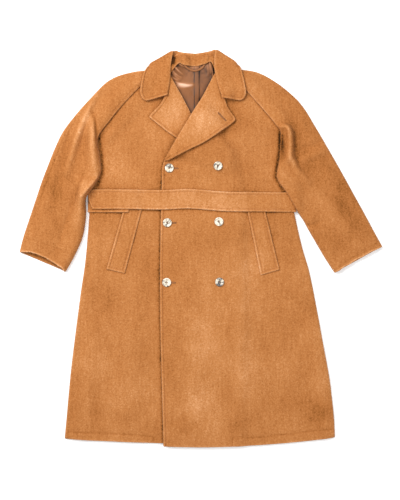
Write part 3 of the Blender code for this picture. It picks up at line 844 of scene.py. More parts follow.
def shell(name, inside, outside, finishes, tone_and_painted_light, seam_and_shadow):
    """Closed shell between two grids of points, with a rounded rim. finishes: outer face, inner face."""
    rows, count = outside.shape[:2]
    middle = (inside + outside) / 2
    push = np.zeros_like(middle)
    push[0] += unit(middle[0] - middle[1])
    push[-1] += unit(middle[-1] - middle[-2])
    push[:, 0] += unit(middle[:, 0] - middle[:, 1])
    push[:, -1] += unit(middle[:, -1] - middle[:, -2])
    half = np.linalg.norm(outside - inside, axis=2, keepdims=True) / 2
    on_rim = np.linalg.norm(push, axis=2, keepdims=True) > 0
    squeeze = np.where(on_rim, RIM_SQUEEZE, 1.0)
    index = np.arange(rows * count).reshape(rows, count)
    loop = np.concatenate([index[0, :-1], index[:-1, -1], index[-1, :0:-1], index[:0:-1, 0]])
    rim = (middle + unit(push) * half * RIM_BULGE).reshape(-1, 3)[loop]
    outer = (middle + (outside - middle) * squeeze).reshape(-1, 3)
    inner = (middle + (inside - middle) * squeeze).reshape(-1, 3)
    points = np.concatenate([outer, inner, rim])
    face = np.stack([index[:-1, :-1], index[:-1, 1:], index[1:, 1:], index[1:, :-1]], axis=2).reshape(-1, 4)
    around = 2 * index.size + np.arange(len(loop))
    following, around_next = np.roll(loop, -1), np.roll(around, -1)
    faces = np.concatenate(
        [
            face,
            face[:, ::-1] + index.size,
            np.stack([following, loop, around, around_next], axis=1),
            np.stack([around_next, around, loop + index.size, following + index.size], axis=1),
        ]
    )
    if np.cross(middle[1, 0] - middle[0, 0], middle[0, 1] - middle[0, 0]) @ (outside - inside)[0, 0] > 0:
        faces = faces[:, ::-1]
    mesh = bpy.data.meshes.new(name)
    mesh.from_pydata(((points + SHIFT) * MM).tolist(), [], faces.tolist())
    # Marks for the materials, which paint light and shade with them; the shade in hollows is filled in later
    for label, values in (("tone_and_painted_light", tone_and_painted_light), ("seam_and_shadow", seam_and_shadow), ("hollow_shade", 0.0)):
        flat = (np.zeros(index.shape) + values).reshape(-1)
        mark = mesh.attributes.new(label, "FLOAT", "POINT")
        mark.data.foreach_set("value", np.concatenate([flat, flat, flat[loop]]).astype(np.float32))
    mesh.shade_smooth()
    for finish in finishes:
        mesh.materials.append(finish)
    slots = np.full(len(faces), finishes.index(WOOL) if WOOL in finishes else 0, np.int32)
    slots[: len(face)] = 0
    slots[len(face) : 2 * len(face)] = len(finishes) - 1
    mesh.polygons.foreach_set("material_index", slots)
    OUTER_FACES[mesh.name] = outer
    return placed(name, mesh)


def placed(name, mesh):
    piece = bpy.data.objects.new(name, mesh)
    bpy.context.scene.collection.objects.link(piece)
    return piece


def shade_hollows(pile):
    """Mark, on the outer face of every piece of cloth, how deep in a hollow each point is, so that the
    materials paint shade there.
    """
    for name, outer in OUTER_FACES.items():
        mark = bpy.data.meshes[name].attributes["hollow_shade"]
        values = np.zeros(len(mark.data), np.float32)
        values[: len(outer)] = hollowness(pile, outer)
        mark.data.foreach_set("value", values)


def declare(piece, node):
    """A piece that rides on the coat and stands for a node, which it hides."""
    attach(piece, "root")
    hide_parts(node)


def lay(
    node,
    xy,
    pile,
    reach,
    loft,
    finishes,
    relief=0.0,
    seam_and_shadow=0.0,
    tone_and_painted_light=0.0,
    thickness=CLOTH,
    natures=("camel",),
    sewn=None,
):
    """A panel that lies on the pile, lifted by its loft, and is then part of the pile.

    sewn is the distance of each point from a seam, where the panel follows what is under it closely.
    """
    height = pile.under(xy, reach)
    if sewn is not None:
        share = fading(sewn, SEWN_WIDTH)
        height = height * (1 - share) + np.minimum(height, pile.under(xy, SEWN_REACH, 1)) * share
        height = np.maximum(height - SEWN_DROP * fading(sewn, SEWN_DROP_WIDTH), 0)
    inside = np.dstack([xy, height + loft])
    outside = inside.copy()
    outside[..., 2] += thickness * steepness(inside) + relief
    pile.add(outside)
    tone_and_painted_light = tone_and_painted_light + tone_at(natures, xy)
    # Painted highlight along the edges of the camel cloth
    if "camel" in natures:
        tone_and_painted_light += rim_highlight(xy)
    return shell(f"{node}_cloth", inside, outside, finishes, tone_and_painted_light, seam_and_shadow), outside


def tube_faces(rings):
    """Faces of a thread with so many rings of points, closed at both ends."""
    sides = THREAD_RING.size
    walls = [
        [i * sides + j, i * sides + (j + 1) % sides, (i + 1) * sides + (j + 1) % sides, (i + 1) * sides + j]
        for i in range(rings - 1)
        for j in range(sides)
    ]
    return [*walls, list(range(sides))[::-1], list(range((rings - 1) * sides, rings * sides))]


def thread_piece(name, threads, finish):
    """One joined mesh of threads that rides on the coat. A thread is the points of its rings in turn."""
    faces, first = [], 0
    for points in threads:
        faces += [[first + v for v in face] for face in tube_faces(len(points) // THREAD_RING.size)]
        first += len(points)
    mesh = bpy.data.meshes.new(name)
    mesh.from_pydata(((np.concatenate(threads) + SHIFT) * MM).tolist(), [], faces)
    mesh.shade_smooth()
    mesh.materials.append(finish)
    piece = placed(name, mesh)
    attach(piece, "root")
    return piece


def stitches(name, lines):
    """Short stitches, end to end along each line of points on a surface."""
    places = np.array([-0.5, -0.34, 0.0, 0.34, 0.5])
    girth = np.array([0.15, 0.8, 1.0, 0.8, 0.15])
    shape = np.array(
        [
            (x, 0.5 * g * math.cos(a), 0.5 * g * math.sin(a) + 0.5 - 3.2 * x * x)
            for x, g in zip(places, girth)
            for a in THREAD_RING
        ]
    )
    threads = []
    for line in lines:
        length = lengths(line)
        at = np.arange(STITCH_PITCH / 2, length[-1], STITCH_PITCH)
        middle = np.stack([np.interp(at, length, line[:, k]) for k in range(3)], axis=1)
        tangent = unit(np.stack([np.interp(at, length, np.gradient(line[:, k])) for k in range(3)], axis=1))
        side = unit(np.cross([0.0, 0.0, 1.0], tangent))
        up = np.cross(tangent, side)
        for k in range(len(at)):
            threads.append(
                middle[k]
                + shape[:, 0:1] * STITCH_LENGTH * tangent[k]
                + shape[:, 1:2] * STITCH_WIDTH * side[k]
                + shape[:, 2:3] * STITCH_WIDTH * up[k]
            )
    return thread_piece(name, threads, THREAD)


def declare_stitched(piece, node, runs):
    """A piece of coat cloth, with the topstitching that runs along it."""
    sewn = [stitches(f"{node}_stitching", runs)] if runs else []
    declare(piece, node)


def lay_back(pile):
    spacing, reach = LIES["back"]
    xy = panel_grid(BACK, spacing)
    relief = nap(xy) * rise(xy[..., 1] - HEM_LEVEL, HEM_FADE)
    piece, _ = lay("back", xy, pile, reach, side_curl(xy, BACK), [SATIN_CLOTH, WOOL], relief)
    declare(piece, "back")


def armpit_y(rows):
    """Y of the armpit on a panel's first edge."""
    return next(row[2] for row in rows if row.place == "armpit")


def side_curl(xy, rows):
    """Lift of the side edges below the armpit, where a seam closes them."""
    near, far = edge_distances(xy)
    below = np.clip((armpit_y(rows) - xy[..., 1]) / CURL_FADE, 0, 1)
    return EDGE_CURL * below * (1 - rise(np.minimum(near, far), SIDE_ROUND / 2))


def lay_front(node, rows, pile, edge_stitched):
    """A front. The one on top has its edge turned and stitched up to where the lapel breaks."""
    spacing, reach = LIES["front"]
    xy = panel_grid(rows, spacing, ("far", "start"))
    near, far = edge_distances(xy)
    loft = BODY_LOFT * rise(near, SIDE_ROUND) * rise(far, SIDE_ROUND)
    easing = rise(near, SLACK_ROUND) * rise(far, SLACK_ROUND)
    folds = folds_on(node, xy)
    loft += folds + slack(xy) * easing
    relief, seam_and_shadow = grooves_on(node, xy)
    relief += nap(xy)
    if edge_stitched:
        break_y = next(row.y1 for row in rows if row.place == "break")
        below_break = xy[:, -1, 1] < break_y
        to_edge = apart(xy, xy[below_break, -1])
        roll, dent = turned_edge(to_edge)
        loft += lift(to_edge)
        relief += roll
        seam_and_shadow = np.maximum(seam_and_shadow, dent)
        for line in buttonhole_lines():
            relief, seam_and_shadow = cut_hole(xy, line, FRONT_HOLE, relief, seam_and_shadow)
    # Painted highlight on the ridges of the folds, painted shade in their troughs
    tone_and_painted_light = FOLD_PAINTED_LIGHT * np.maximum(folds, folds / 3)
    piece, outside = lay(node, xy, pile, reach, loft, [WOOL, SATIN_CLOTH], relief, seam_and_shadow, tone_and_painted_light, sewn=near)
    runs = [outside[below_break, -1 - INSET_ROW]] if edge_stitched else []
    declare_stitched(piece, node, runs)


def buttonhole_lines():
    """Slits of the buttonholes beside the right-hand buttons."""
    return [np.array(BUTTONHOLE, float) + (x, y) for node, (x, y, _) in BUTTONS.items() if "right" in node]


def cut_hole(xy, line, hole, relief, seam_and_shadow):
    """Relief and seam of a panel, with the slit of a buttonhole added."""
    cut = fading(apart(xy, line), hole.width)
    return relief - hole.depth * cut, np.maximum(seam_and_shadow, hole.shade * cut)


def sleeve_half(rows, inner, cuff_bow=0.0):
    """Sections of one half of a sleeve, with the named inner edge."""
    made = [
        Section(r.place, r.outer_x, r.outer_y, getattr(r, f"{inner}_x"), getattr(r, f"{inner}_y"))
        for r in rows
    ]
    made[0] = made[0]._replace(bow=cuff_bow)
    return made


def lay_sleeve_back(side, rows, pile):
    node = f"sleeve_{side}_back"
    half = sleeve_half(rows, "under")
    spacing, reach = LIES["sleeve_back"]
    xy = panel_grid(half, spacing)
    piece, _ = lay(node, xy, pile, reach, side_curl(xy, half), [WOOL], UNDER_NAP * nap(xy))
    declare(piece, node)


def lay_sleeve_front(side, rows, pile):
    node = f"sleeve_{side}_front"
    half = sleeve_half(rows, "fold", CUFF_SETBACK[side])
    spacing, reach = LIES["sleeve_front"]
    xy = panel_grid(half, spacing, ("far", "start"))
    from_cuff = lengths(xy[:, xy.shape[1] // 2])
    ragged = CUFF_WAVE * fading(from_cuff, CUFF_WAVE_REACH)[:, None] * waves(xy, 13, 7)
    xy += ragged[..., None] * unit(xy[-1] - xy[0])
    near, far = edge_distances(xy)
    share = np.interp(from_cuff / from_cuff[-1], cuff_shares(half), np.arange(len(rows)))
    height = catmull_rom([[r.loft] for r in rows], share)
    above = np.clip((xy[:, -1:, 1] - armpit_y(half) + ARMPIT_BELOW) / ARMPIT_SPAN, 0, 1)
    easing = rise(near, SIDE_ROUND) * rise(far, FOLD_ROUND + (SIDE_ROUND - FOLD_ROUND) * above)
    folds = folds_on(node, xy) * rise(near, SLEEVE_FOLD_EASE[0]) * rise(far, SLEEVE_FOLD_EASE[1])
    loft = height * easing + folds
    loft += SLEEVE_SLACK * slack(xy) * easing
    relief, seam_and_shadow = grooves_on(node, xy)
    relief += nap(xy)
    raglan = xy[:, -1, 1] > armpit_y(half)
    roll, dent = turned_edge(apart(xy, xy[raglan, -1]))
    relief += RAGLAN_ROLL * roll - RAGLAN_THIN * above * fading(far, RAGLAN_THIN_WIDTH)
    seam_and_shadow = np.maximum(seam_and_shadow, RAGLAN_DENT * dent)
    cuff_roll, _ = turned_edge(np.repeat(from_cuff[:, None], xy.shape[1], axis=1) + INSET / 2)
    relief += np.maximum(cuff_roll, 0)
    loft = np.maximum(loft, 0)
    # Painted highlight along the cuff's edge
    cuff_highlight = CUFF_HIGHLIGHT * fading(from_cuff[:, None], CUFF_HIGHLIGHT_WIDTH)
    # Painted highlight on the ridges of the folds, painted shade in their troughs
    tone_and_painted_light = FOLD_PAINTED_LIGHT * np.maximum(folds, folds / 3) + cuff_highlight
    piece, outside = lay(node, xy, pile, reach, loft, [WOOL, SATIN_CLOTH], relief, seam_and_shadow, tone_and_painted_light, sewn=near)
    declare_stitched(piece, node, [outside[raglan, -1 - INSET_ROW]])


def cuff_shares(half):
    """Share of a sleeve's length from the cuff at each of its sections."""
    table = np.array([row[1:5] for row in half], float)
    length = lengths((table[:, 0:2] + table[:, 2:4]) / 2)
    return length / length[-1]


def lay_lapel(node, rows, pile, hole=None):
    """A lapel, rolled over the edge of its front, with its free edge turned and stitched."""
    spacing, reach = LIES["lapel"]
    xy = panel_grid(rows, spacing, ("far", "near"), PEAK_SOFTNESS)
    along = lengths(xy[:, 0])
    full = rise(np.minimum(along, along[-1] - along), LAPEL_END)[:, None]
    outward = unit(xy[:, 0] - xy[:, 1])[:, None]
    roll_line = xy[:, :1]
    xy = np.concatenate([roll_line + outward * (ROLL_OUT * full)[..., None], xy], axis=1)
    near = np.linalg.norm(xy - roll_line, axis=2)
    near[:, : ROLL_OUT.size] = 0
    to_edge = apart(xy, xy[:, -1])
    roll, seam_and_shadow = turned_edge(to_edge)
    relief = roll + SOFT_NAP * nap(xy)
    if hole is not None:
        relief, seam_and_shadow = cut_hole(xy, hole, LAPEL_HOLE, relief, seam_and_shadow)
    loft = LAPEL_LOFT * rise(near, LAPEL_ROUND) + lift(to_edge) * rise(near, LAPEL_FREE)
    loft[:, : ROLL_DOWN.size] -= ROLL_DOWN * full
    piece, outside = lay(node, xy, pile, reach, loft, [WOOL], relief, seam_and_shadow, natures=("camel", "lapel"))
    declare_stitched(piece, node, [outside[:-INSET_ROW, -1 - INSET_ROW]])


def lay_welt(node, rows, pile):
    """A pocket welt with stitching inside its two long edges and its foot."""
    spacing, reach = LIES["welt"]
    xy = panel_grid(rows, spacing, ("near", "far", "end"))
    outline = np.concatenate([xy[:, 0], xy[-1], xy[::-1, -1]])
    roll, seam_and_shadow = turned_edge(apart(xy, outline))
    loft = WELT_LIFT * lift(apart(xy, xy[:, 0]))
    piece, outside = lay(node, xy, pile, reach, loft, [WOOL], roll + SOFT_NAP * nap(xy), seam_and_shadow)
    foot = -1 - INSET_ROW
    runs = [
        outside[:foot, INSET_ROW],
        outside[:foot, foot],
        outside[foot, INSET_ROW : foot + 1],
    ]
    declare_stitched(piece, node, runs)


def lay_lining(pile):
    """Satin back lining with a pleat down its middle."""
    spacing, reach = LIES["lining"]
    xy = panel_grid(LINING, spacing)
    from_first, from_second = (xy[..., 0] - edge for edge in PLEAT_EDGES)
    pleat = 1 / (1 + np.exp(-from_first / PLEAT_SHARPNESS)) / (1 + np.exp(from_second / PLEAT_SHARPNESS))
    seam_and_shadow = fading(from_first, PLEAT_SEAM) + fading(from_second, PLEAT_SEAM)
    near, far = edge_distances(xy)
    loft = np.maximum(folds_on("lining", xy), 0) * rise(near, 10) * rise(far, 10)
    # Painted highlight on the tops of the lining's folds, and random darker patches near the neck
    painted_gleam_and_dark_patches = 0.26 * loft - 0.5 * np.clip(waves(xy, 7, 5), 0, 1) * np.clip((xy[..., 1] - 500) / 20, 0, 1)
    relief = PLEAT_HEIGHT * pleat
    piece, _ = lay("lining", xy, pile, reach, loft, [SATIN_CLOTH], relief, seam_and_shadow, painted_gleam_and_dark_patches, SATIN, ("lining",))
    return piece


def lay_loop(pile):
    """Hanger loop: a narrow turned strip of lining, full in the middle."""
    at = catmull_rom([point[1:] for point in HANGER_LOOP], np.linspace(0, len(HANGER_LOOP) - 1, 61))
    along = unit(np.gradient(at, axis=0))
    side = np.stack([-along[:, 1], along[:, 0]], axis=1)
    shares = np.linspace(-0.5, 0.5, 9)
    xy = at[:, None, :] + side[:, None, :] * (shares * LOOP_WIDTH)[None, :, None]
    full = np.repeat(LOOP_LOFT * (1 - (2 * shares[None, :]) ** 2), len(at), axis=0)
    piece, _ = lay("hanger_loop", xy, pile, LOOP_REACH, 0.0, [SATIN_CLOTH], full, 0.0, 0.4, SATIN, ("loop",))
    declare(piece, "hanger_loop")
    return piece


def lay_stand(pile):
    spacing, reach = LIES["stand"]
    xy = panel_grid(COLLAR_STAND, spacing)
    near, far = edge_distances(xy)
    loft = np.maximum(folds_on("collar_stand", xy), 0) * rise(near, 4) * rise(far, 4)
    relief = STAND_NAP * nap(xy)
    piece, _ = lay("collar_stand", xy, pile, reach, loft, [WOOL], relief, natures=("camel", "stand"))
    declare(piece, "collar_stand")


def collar_grid(edges, z):
    """Grid across the collar from its crease to its edge, at one height."""
    u = COLLAR_SHARES[None, :]
    x = edges[:, 0:1] * (1 - u) + edges[:, 2:3] * u
    y = edges[:, 1:2] * (1 - u) + edges[:, 3:4] * u
    return np.dstack([x, y, np.full(x.shape, z)])


def collar_floor(rows):
    """Grid of the part of a collar half that lies behind the neck, on the surface."""
    behind = [r for r in rows if r.lies == "floor"]
    edges = catmull_rom([r[1:5] for r in behind], np.linspace(0, len(behind) - 1, 7))
    return collar_grid(edges, CLOTH / 2)


def resampled(grid, along, across):
    """Smooth surface through a grid, at fractional row and column numbers."""
    return catmull_rom(catmull_rom(grid, along).swapaxes(0, 1), across).swapaxes(0, 1)


def ribbon(name, middle, relief, seam_and_shadow, nature):
    """A strip that turns over: even thickness either side of a middle surface, relief on its outer face."""
    normal = unit(np.cross(np.gradient(middle, axis=0), np.gradient(middle, axis=1)))
    if normal[2, normal.shape[1] // 2, 2] < 0:
        normal = -normal
    outside = middle + normal * (CLOTH / 2 + relief[..., None])
    inside = middle - normal * (CLOTH / 2)
    outside[..., 2] = np.maximum(outside[..., 2], 0)
    # Painted patches of its kind of cloth, and painted highlight along its edges
    tone_and_painted_light = tone_at(("camel", nature), middle[..., :2]) + rim_highlight(middle)
    return shell(name, inside, outside, [WOOL], tone_and_painted_light, seam_and_shadow), outside


def collar_surface(rows, floor, pile):
    """Coarse middle surface of half a collar, and its section where it turns over the shoulder."""
    flat = collar_grid(catmull_rom([r[1:5] for r in rows if r.lies == "top"], LEAF_STEPS), CLOTH / 2)
    flat[..., 2] += pile.under(flat[..., :2], LIES["collar"].reach)
    turn = collar_grid(np.array([r[1:5] for r in rows if r.lies == "turn"], float), 0.0)
    turn[0, :, 2] = (flat[-1, :, 2] + floor[0, :, 2]) / 2
    bent = catmull_rom(np.concatenate([flat[-2:], turn, floor[:2]]), [1.5, 2.0, 2.5])
    bent[..., 2] = np.maximum(bent[..., 2], CLOTH / 2)
    return np.concatenate([flat, bent, floor]), turn[0]


def distance_along(line, at):
    """Distance along a line of points from one of them, as a column."""
    length = lengths(line)
    return np.abs(length - length[at])[:, None]


def soften_collar(middle, turn, from_crease, from_edge, from_start):
    """Half a collar with its crease and edge rounded where it turns, and its point rounded."""
    top = np.argmax(middle[:, 0, 1])
    inward = unit((middle[top, 0] - middle[top, 2]) * [1, 1, 0])
    from_top = distance_along(middle[:, 0], top)
    middle = round_corner(middle, from_crease, from_top, inward, np.array([0.0, 1.0, 0.0]), CREASE_CORNER)
    across = unit((turn[-1] - turn[0]) * [1, 1, 0])
    outward = np.array([-across[1], across[0], 0.0]) * np.sign(across[0])
    ear = np.argmax(middle[:, -1] @ outward)
    from_ear = distance_along(middle[:, -1], ear)
    middle = round_corner(middle, from_edge, from_ear, across, outward, EDGE_CORNER)
    sideways, endways = unit(middle[0, -1] - middle[0, -2]), unit(middle[0, -1] - middle[1, -1])
    return round_corner(middle, from_edge, from_start, sideways, endways, CORNER)


def lay_collar(node, rows, floor, pile):
    """Half a collar: the leaf on the front, the turn over the shoulder, and the fall behind the neck."""
    coarse, turn = collar_surface(rows, floor, pile)
    span = lengths(coarse[:, 3])
    places = distances(span[-1], math.ceil(span[-1] / LIES["collar"].spacing), BAND, BAND[:1])
    shares = distances(COLLAR_FALL, COLLAR_STEPS, BAND[:1], BAND) / COLLAR_FALL
    along = np.interp(places, span, np.arange(len(coarse)))
    middle = resampled(coarse, along, np.interp(shares, COLLAR_SHARES, np.arange(COLLAR_SHARES.size)))
    from_start = lengths(middle[:, -1])[:, None]
    from_crease, from_edge = edge_distances(middle)
    from_free = np.minimum(from_start, from_edge)
    roll, seam_and_shadow = turned_edge(from_free)
    leaf_share = np.clip((span[len(LEAF_STEPS) - 3] - from_start) / LEAF_FADE, 0, 1)
    middle[..., 2] += (lift(from_free) + COLLAR_ROLL * rise(from_crease, LEAF_RISE)) * leaf_share
    middle = soften_collar(middle, turn, from_crease, from_edge, from_start)
    relief = roll + SOFT_NAP * nap(middle[..., :2])
    piece, outside = ribbon(f"{node}_cloth", middle, relief, seam_and_shadow, "collar")
    pile.add(outside[: int(COLLAR_SHOWN * len(outside))])
    edge = -1 - INSET_ROW
    runs = [outside[INSET_ROW:-4, edge], outside[INSET_ROW, : edge + 1]]
    declare_stitched(piece, node, runs)


def belt_stretch(line, count):
    """Flat grid of a stretch of belt along its middle line."""
    at = catmull_rom([point[1:] for point in line], np.linspace(0, len(line) - 1, count))
    x = np.repeat(at[:, 0:1], BELT_SHARES.size, axis=1)
    return np.dstack([x, at[:, 1:2] + BELT_WIDTH * BELT_SHARES])


def belt_turn(top, low, outward):
    """Rows that carry the belt round a side, from its top end to the stretch underneath."""
    z_top, z_low = top[:, 2], low[:, 2]
    made = []
    for angle in np.radians([60, 20, -20, -60]):
        row = top + (low - top) * (0.5 - 0.5 * math.sin(angle))
        row[:, 0] += outward * BELT_TURN * math.cos(angle)
        row[:, 2] = (z_top + z_low) / 2 + (z_top - z_low) / 2 * math.sin(angle)
        made.append(row)
    return np.array(made)


def belt_underneath():
    """Grid of the stretch behind the back, on the surface, from the left side to the right one."""
    xy = belt_stretch([BELT_FRONT[0], BELT_END[-1]], 9)
    return np.dstack([xy, np.full(xy.shape[:2], CLOTH / 2)])


def lay_belt(pile, underneath):
    """The belt from its tip across the front, round the left side, behind, and up round the right side."""
    end = belt_stretch(BELT_END, 6)
    end = np.dstack([end, pile.under(end, BELT_END_REACH) + CLOTH / 2])
    pile.add(end + np.array([0, 0, CLOTH / 2]))
    front = belt_stretch(BELT_FRONT, 25)
    from_point = np.abs(BELT_WIDTH * BELT_SHARES - BELT_TIP_AT)
    front[-1, :, 0] -= BELT_TIP * (1 - from_point / (BELT_WIDTH / 2 + BELT_TIP_AT))
    front = np.dstack([front, pile.under(front, LIES["belt"].reach) + CLOTH / 2])
    left_turn = belt_turn(front[0], underneath[0], 1.0)
    right_turn = belt_turn(end[-1], underneath[-1], -1.0)[::-1]
    coarse = np.concatenate([front[::-1], left_turn, underneath, right_turn, end[::-1]])
    span = lengths(coarse[:, 2])
    places = distances(span[-1], math.ceil(span[-1] / LIES["belt"].spacing), BAND, BAND[:1])
    along = np.interp(places, span, np.arange(len(coarse)))
    shares = distances(BELT_WIDTH, BELT_STEPS, BAND, BAND) / BELT_WIDTH - 0.5
    middle = resampled(coarse, along, np.interp(shares, BELT_SHARES, np.arange(BELT_SHARES.size)))
    from_edge = np.repeat(BELT_WIDTH * (0.5 - np.abs(shares))[None, :], len(middle), axis=0)
    from_tip = np.repeat(places[:, None], shares.size, axis=1)
    from_free = np.minimum(from_edge, from_tip)
    roll, seam_and_shadow = turned_edge(from_free)
    shown = places < span[len(front) - 2]
    middle[shown, :, 2] += BELT_EDGE * lift(BELT_LIFT_PACE * from_free[shown])
    relief = BELT_EDGE * roll + SOFT_NAP * nap(middle[..., :2])
    piece, outside = ribbon("belt_cloth", middle, relief, BELT_SEAM * seam_and_shadow, "belt")
    pile.add(outside[shown])
    last = int(shown.sum())
    edge = -1 - INSET_ROW
    runs = [
        outside[INSET_ROW:last, INSET_ROW],
        outside[INSET_ROW:last, edge],
        outside[INSET_ROW, INSET_ROW : edge + 1],
    ]
    declare_stitched(piece, "belt", runs)


def lathe(profile, sides):
    """Solid turned about Z from (radius, height) points that start and end on the axis."""
    shape = bmesh.new()
    points = [shape.verts.new((r, 0, z)) for r, z in profile]
    edges = [shape.edges.new(pair) for pair in zip(points, points[1:])]
    bmesh.ops.spin(
        shape,
        geom=points + edges,
        axis=(0, 0, 1),
        cent=(0, 0, 0),
        angle=2 * math.pi,
        steps=sides,
        use_merge=True,
    )
    bmesh.ops.remove_doubles(shape, verts=shape.verts[:], dist=1e-4)
    bmesh.ops.recalc_face_normals(shape, faces=shape.faces[:])
    mesh = bpy.data.meshes.new("turned")
    shape.to_mesh(mesh)
    shape.free()
    return mesh


def button_mesh():
    """Four-hole button with a rounded rim and a dished middle, in millimetres."""
    r, h = BUTTON_DIAMETER / 2, BUTTON_THICKNESS
    bend = np.radians(np.linspace(-60, 150, 12))
    rim = [(r - 0.5 * h + 0.5 * h * math.cos(a), 0.5 * h + 0.5 * h * math.sin(a)) for a in bend]
    profile = [(0, 0), *rim, (0.66 * r, 0.70 * h), (0.58 * r, 0.62 * h), (0.3 * r, 0.60 * h), (0, 0.60 * h)]
    button = placed("button", lathe(profile, BUTTON_SIDES))
    hole = [(0, -2), (THREAD_HOLE / 2, -2), (THREAD_HOLE / 2, h + 2), (0, h + 2)]
    cutter = placed("thread_holes", lathe(hole, 12))
    shape = bmesh.new()
    for k in range(4):
        angle = math.radians(45 + 90 * k)
        first = len(shape.verts)
        shape.from_mesh(cutter.data)
        shape.verts.ensure_lookup_table()
        aside = (THREAD_SPACING / 2 * math.cos(angle), THREAD_SPACING / 2 * math.sin(angle), 0)
        bmesh.ops.translate(shape, verts=shape.verts[first:], vec=aside)
    shape.to_mesh(cutter.data)
    shape.free()
    cut = button.modifiers.new("holes", "BOOLEAN")
    cut.object = cutter
    graph = bpy.context.evaluated_depsgraph_get()
    mesh = bpy.data.meshes.new_from_object(button.evaluated_get(graph))
    for helper in (button, cutter):
        bpy.data.objects.remove(helper)
    return mesh


def crossed_thread(middle, spin):
    """Lines of the crossed threads that hold a button, three to each arm."""
    lines = []
    for angle in (45, 135):
        a = math.radians(angle) + spin
        across = np.array([math.cos(a), math.sin(a), 0]) * THREAD_SPACING / 2 * 1.15
        for aside in (-0.45, 0.0, 0.45):
            beside = np.array([-math.sin(a) * aside, math.cos(a) * aside, 0])
            share = np.linspace(-1, 1, 9)[:, None]
            line = middle + beside + across * share
            line[:, 2] += 0.9 * (1 - share[:, 0] ** 4) - 0.6
            lines.append(line)
    return lines


def lay_buttons(pile):
    """The six buttons on the fronts, each with its own share of dark marks, sewn on with crossed thread."""
    master = button_mesh()
    turn = np.linspace(0, 2 * np.pi, 25)
    reach = np.array([0, 0.5, 1.0])[:, None] * BUTTON_DIAMETER / 2
    crosses = []
    for k, (node, (x, y, marks)) in enumerate(BUTTONS.items()):
        disc = np.dstack([x + reach * np.cos(turn), y + reach * np.sin(turn)])
        z = np.median(pile.under(disc, 3)) + 0.1
        mesh = master.copy()
        mesh.name = node
        spin = math.radians(23 * k)
        c, s = math.cos(spin), math.sin(spin)
        points = np.array([v.co for v in mesh.vertices]) @ np.array([[c, s, 0], [-s, c, 0], [0, 0, 1]])
        mesh.vertices.foreach_set("co", ((points + [x, y, z] + SHIFT) * MM).ravel())
        mark = mesh.attributes.new("mottle", "FLOAT", "POINT")
        mark.data.foreach_set("value", np.full(len(mesh.vertices), marks, np.float32))
        mesh.shade_smooth()
        mesh.set_sharp_from_angle(angle=math.radians(50))
        mesh.materials.clear()
        mesh.materials.append(HORN)
        declare(placed(f"{node}_horn", mesh), node)
        crosses += crossed_thread(np.array([x, y, z + 0.60 * BUTTON_THICKNESS]), spin)
    tubes("button_thread", crosses, BUTTON_THREAD)


def tubes(name, lines, radius):
    """Round threads along lines of points."""
    threads = []
    for line in lines:
        tangent = unit(np.gradient(line, axis=0))
        side = unit(np.cross([0.0, 0.0, 1.0], tangent) + 1e-6)
        up = np.cross(tangent, side)
        around = side[:, None] * np.cos(THREAD_RING)[:, None] + up[:, None] * np.sin(THREAD_RING)[:, None]
        threads.append((line[:, None] + radius * around).reshape(-1, 3))
    thread_piece(name, threads, THREAD_DARK)


def buttonhole_thread(pile):
    """The worked edges of the buttonholes on the left front and its lapel."""
    lines = []
    bend = np.linspace(0, np.pi, 7)
    for start, end in [*buttonhole_lines(), np.array(LAPEL_BUTTONHOLE, float)]:
        along = unit(end - start)
        side = np.array([-along[1], along[0]])
        half_round = HOLE_EDGE * (np.outer(np.cos(bend), side) + np.outer(np.sin(bend), along))
        first, second = end + half_round, start - half_round
        runs = np.concatenate([first, np.linspace(first[-1], second[0], 12)[1:-1], second])
        runs = np.concatenate([runs, np.linspace(second[-1], first[0], 12)[1:]])
        z = pile.sample(pile.height, runs) - SEAM_GAP + 0.4
        lines.append(np.column_stack([runs, z]))
    tubes("buttonhole_thread", lines, HOLE_THREAD)


def add(tree, kind, inputs, **settings):
    """A new shader node. An input is a value, or another node's socket to link."""
    made = tree.nodes.new(kind)
    for key, value in settings.items():
        setattr(made, key, value)
    for key, value in inputs.items():
        if isinstance(value, bpy.types.NodeSocket):
            tree.links.new(value, made.inputs[key])
        else:
            made.inputs[key].default_value = value
    return made


def blank(name):
    made = bpy.data.materials.new(name)
    made.use_nodes = True
    return made, made.node_tree, made.node_tree.nodes["Principled BSDF"]


def grain(tree, size, detail=2.0, roughness=0.5, distortion=0.0):
    """Noise with features of the given x, y size in millimetres."""
    place = add(tree, "ShaderNodeTexCoord", {}).outputs["Object"]
    scale = (1 / (size[0] * MM), 1 / (size[1] * MM), 1 / (size[0] * MM))
    mapped = add(tree, "ShaderNodeMapping", {"Vector": place, "Scale": scale}).outputs["Vector"]
    inputs = {"Vector": mapped, "Scale": 1.0, "Detail": detail}
    inputs.update({"Roughness": roughness, "Distortion": distortion})
    return add(tree, "ShaderNodeTexNoise", inputs).outputs["Fac"]


def weighed(tree, terms, start):
    """Sum of (socket, weight) terms from a start value."""
    total = start
    for socket, weight in terms:
        inputs = {0: socket, 1: weight, 2: total}
        total = add(tree, "ShaderNodeMath", inputs, operation="MULTIPLY_ADD").outputs[0]
    return total


def attribute(tree, name):
    return add(tree, "ShaderNodeAttribute", {}, attribute_name=name).outputs["Fac"]


def ramp(tree, socket, stops):
    made = add(tree, "ShaderNodeValToRGB", {"Fac": socket})
    while len(made.color_ramp.elements) < len(stops):
        made.color_ramp.elements.new(0.5)
    for element, (place, colour) in zip(made.color_ramp.elements, stops):
        element.position = place
        element.color = (*colour, 1.0)
    return made.outputs["Color"]


def bump(tree, shader, height, strength, distance):
    made = add(tree, "ShaderNodeBump", {"Height": height, "Strength": strength, "Distance": distance * MM})
    tree.links.new(made.outputs["Normal"], shader.inputs["Normal"])


def dress(tree, shader, links, constants):
    """Link sockets to a shader, and set on it what is the same all over the surface."""
    for key, socket in links.items():
        tree.links.new(socket, shader.inputs[key])
    for key, value in constants.items():
        shader.inputs[key].default_value = value


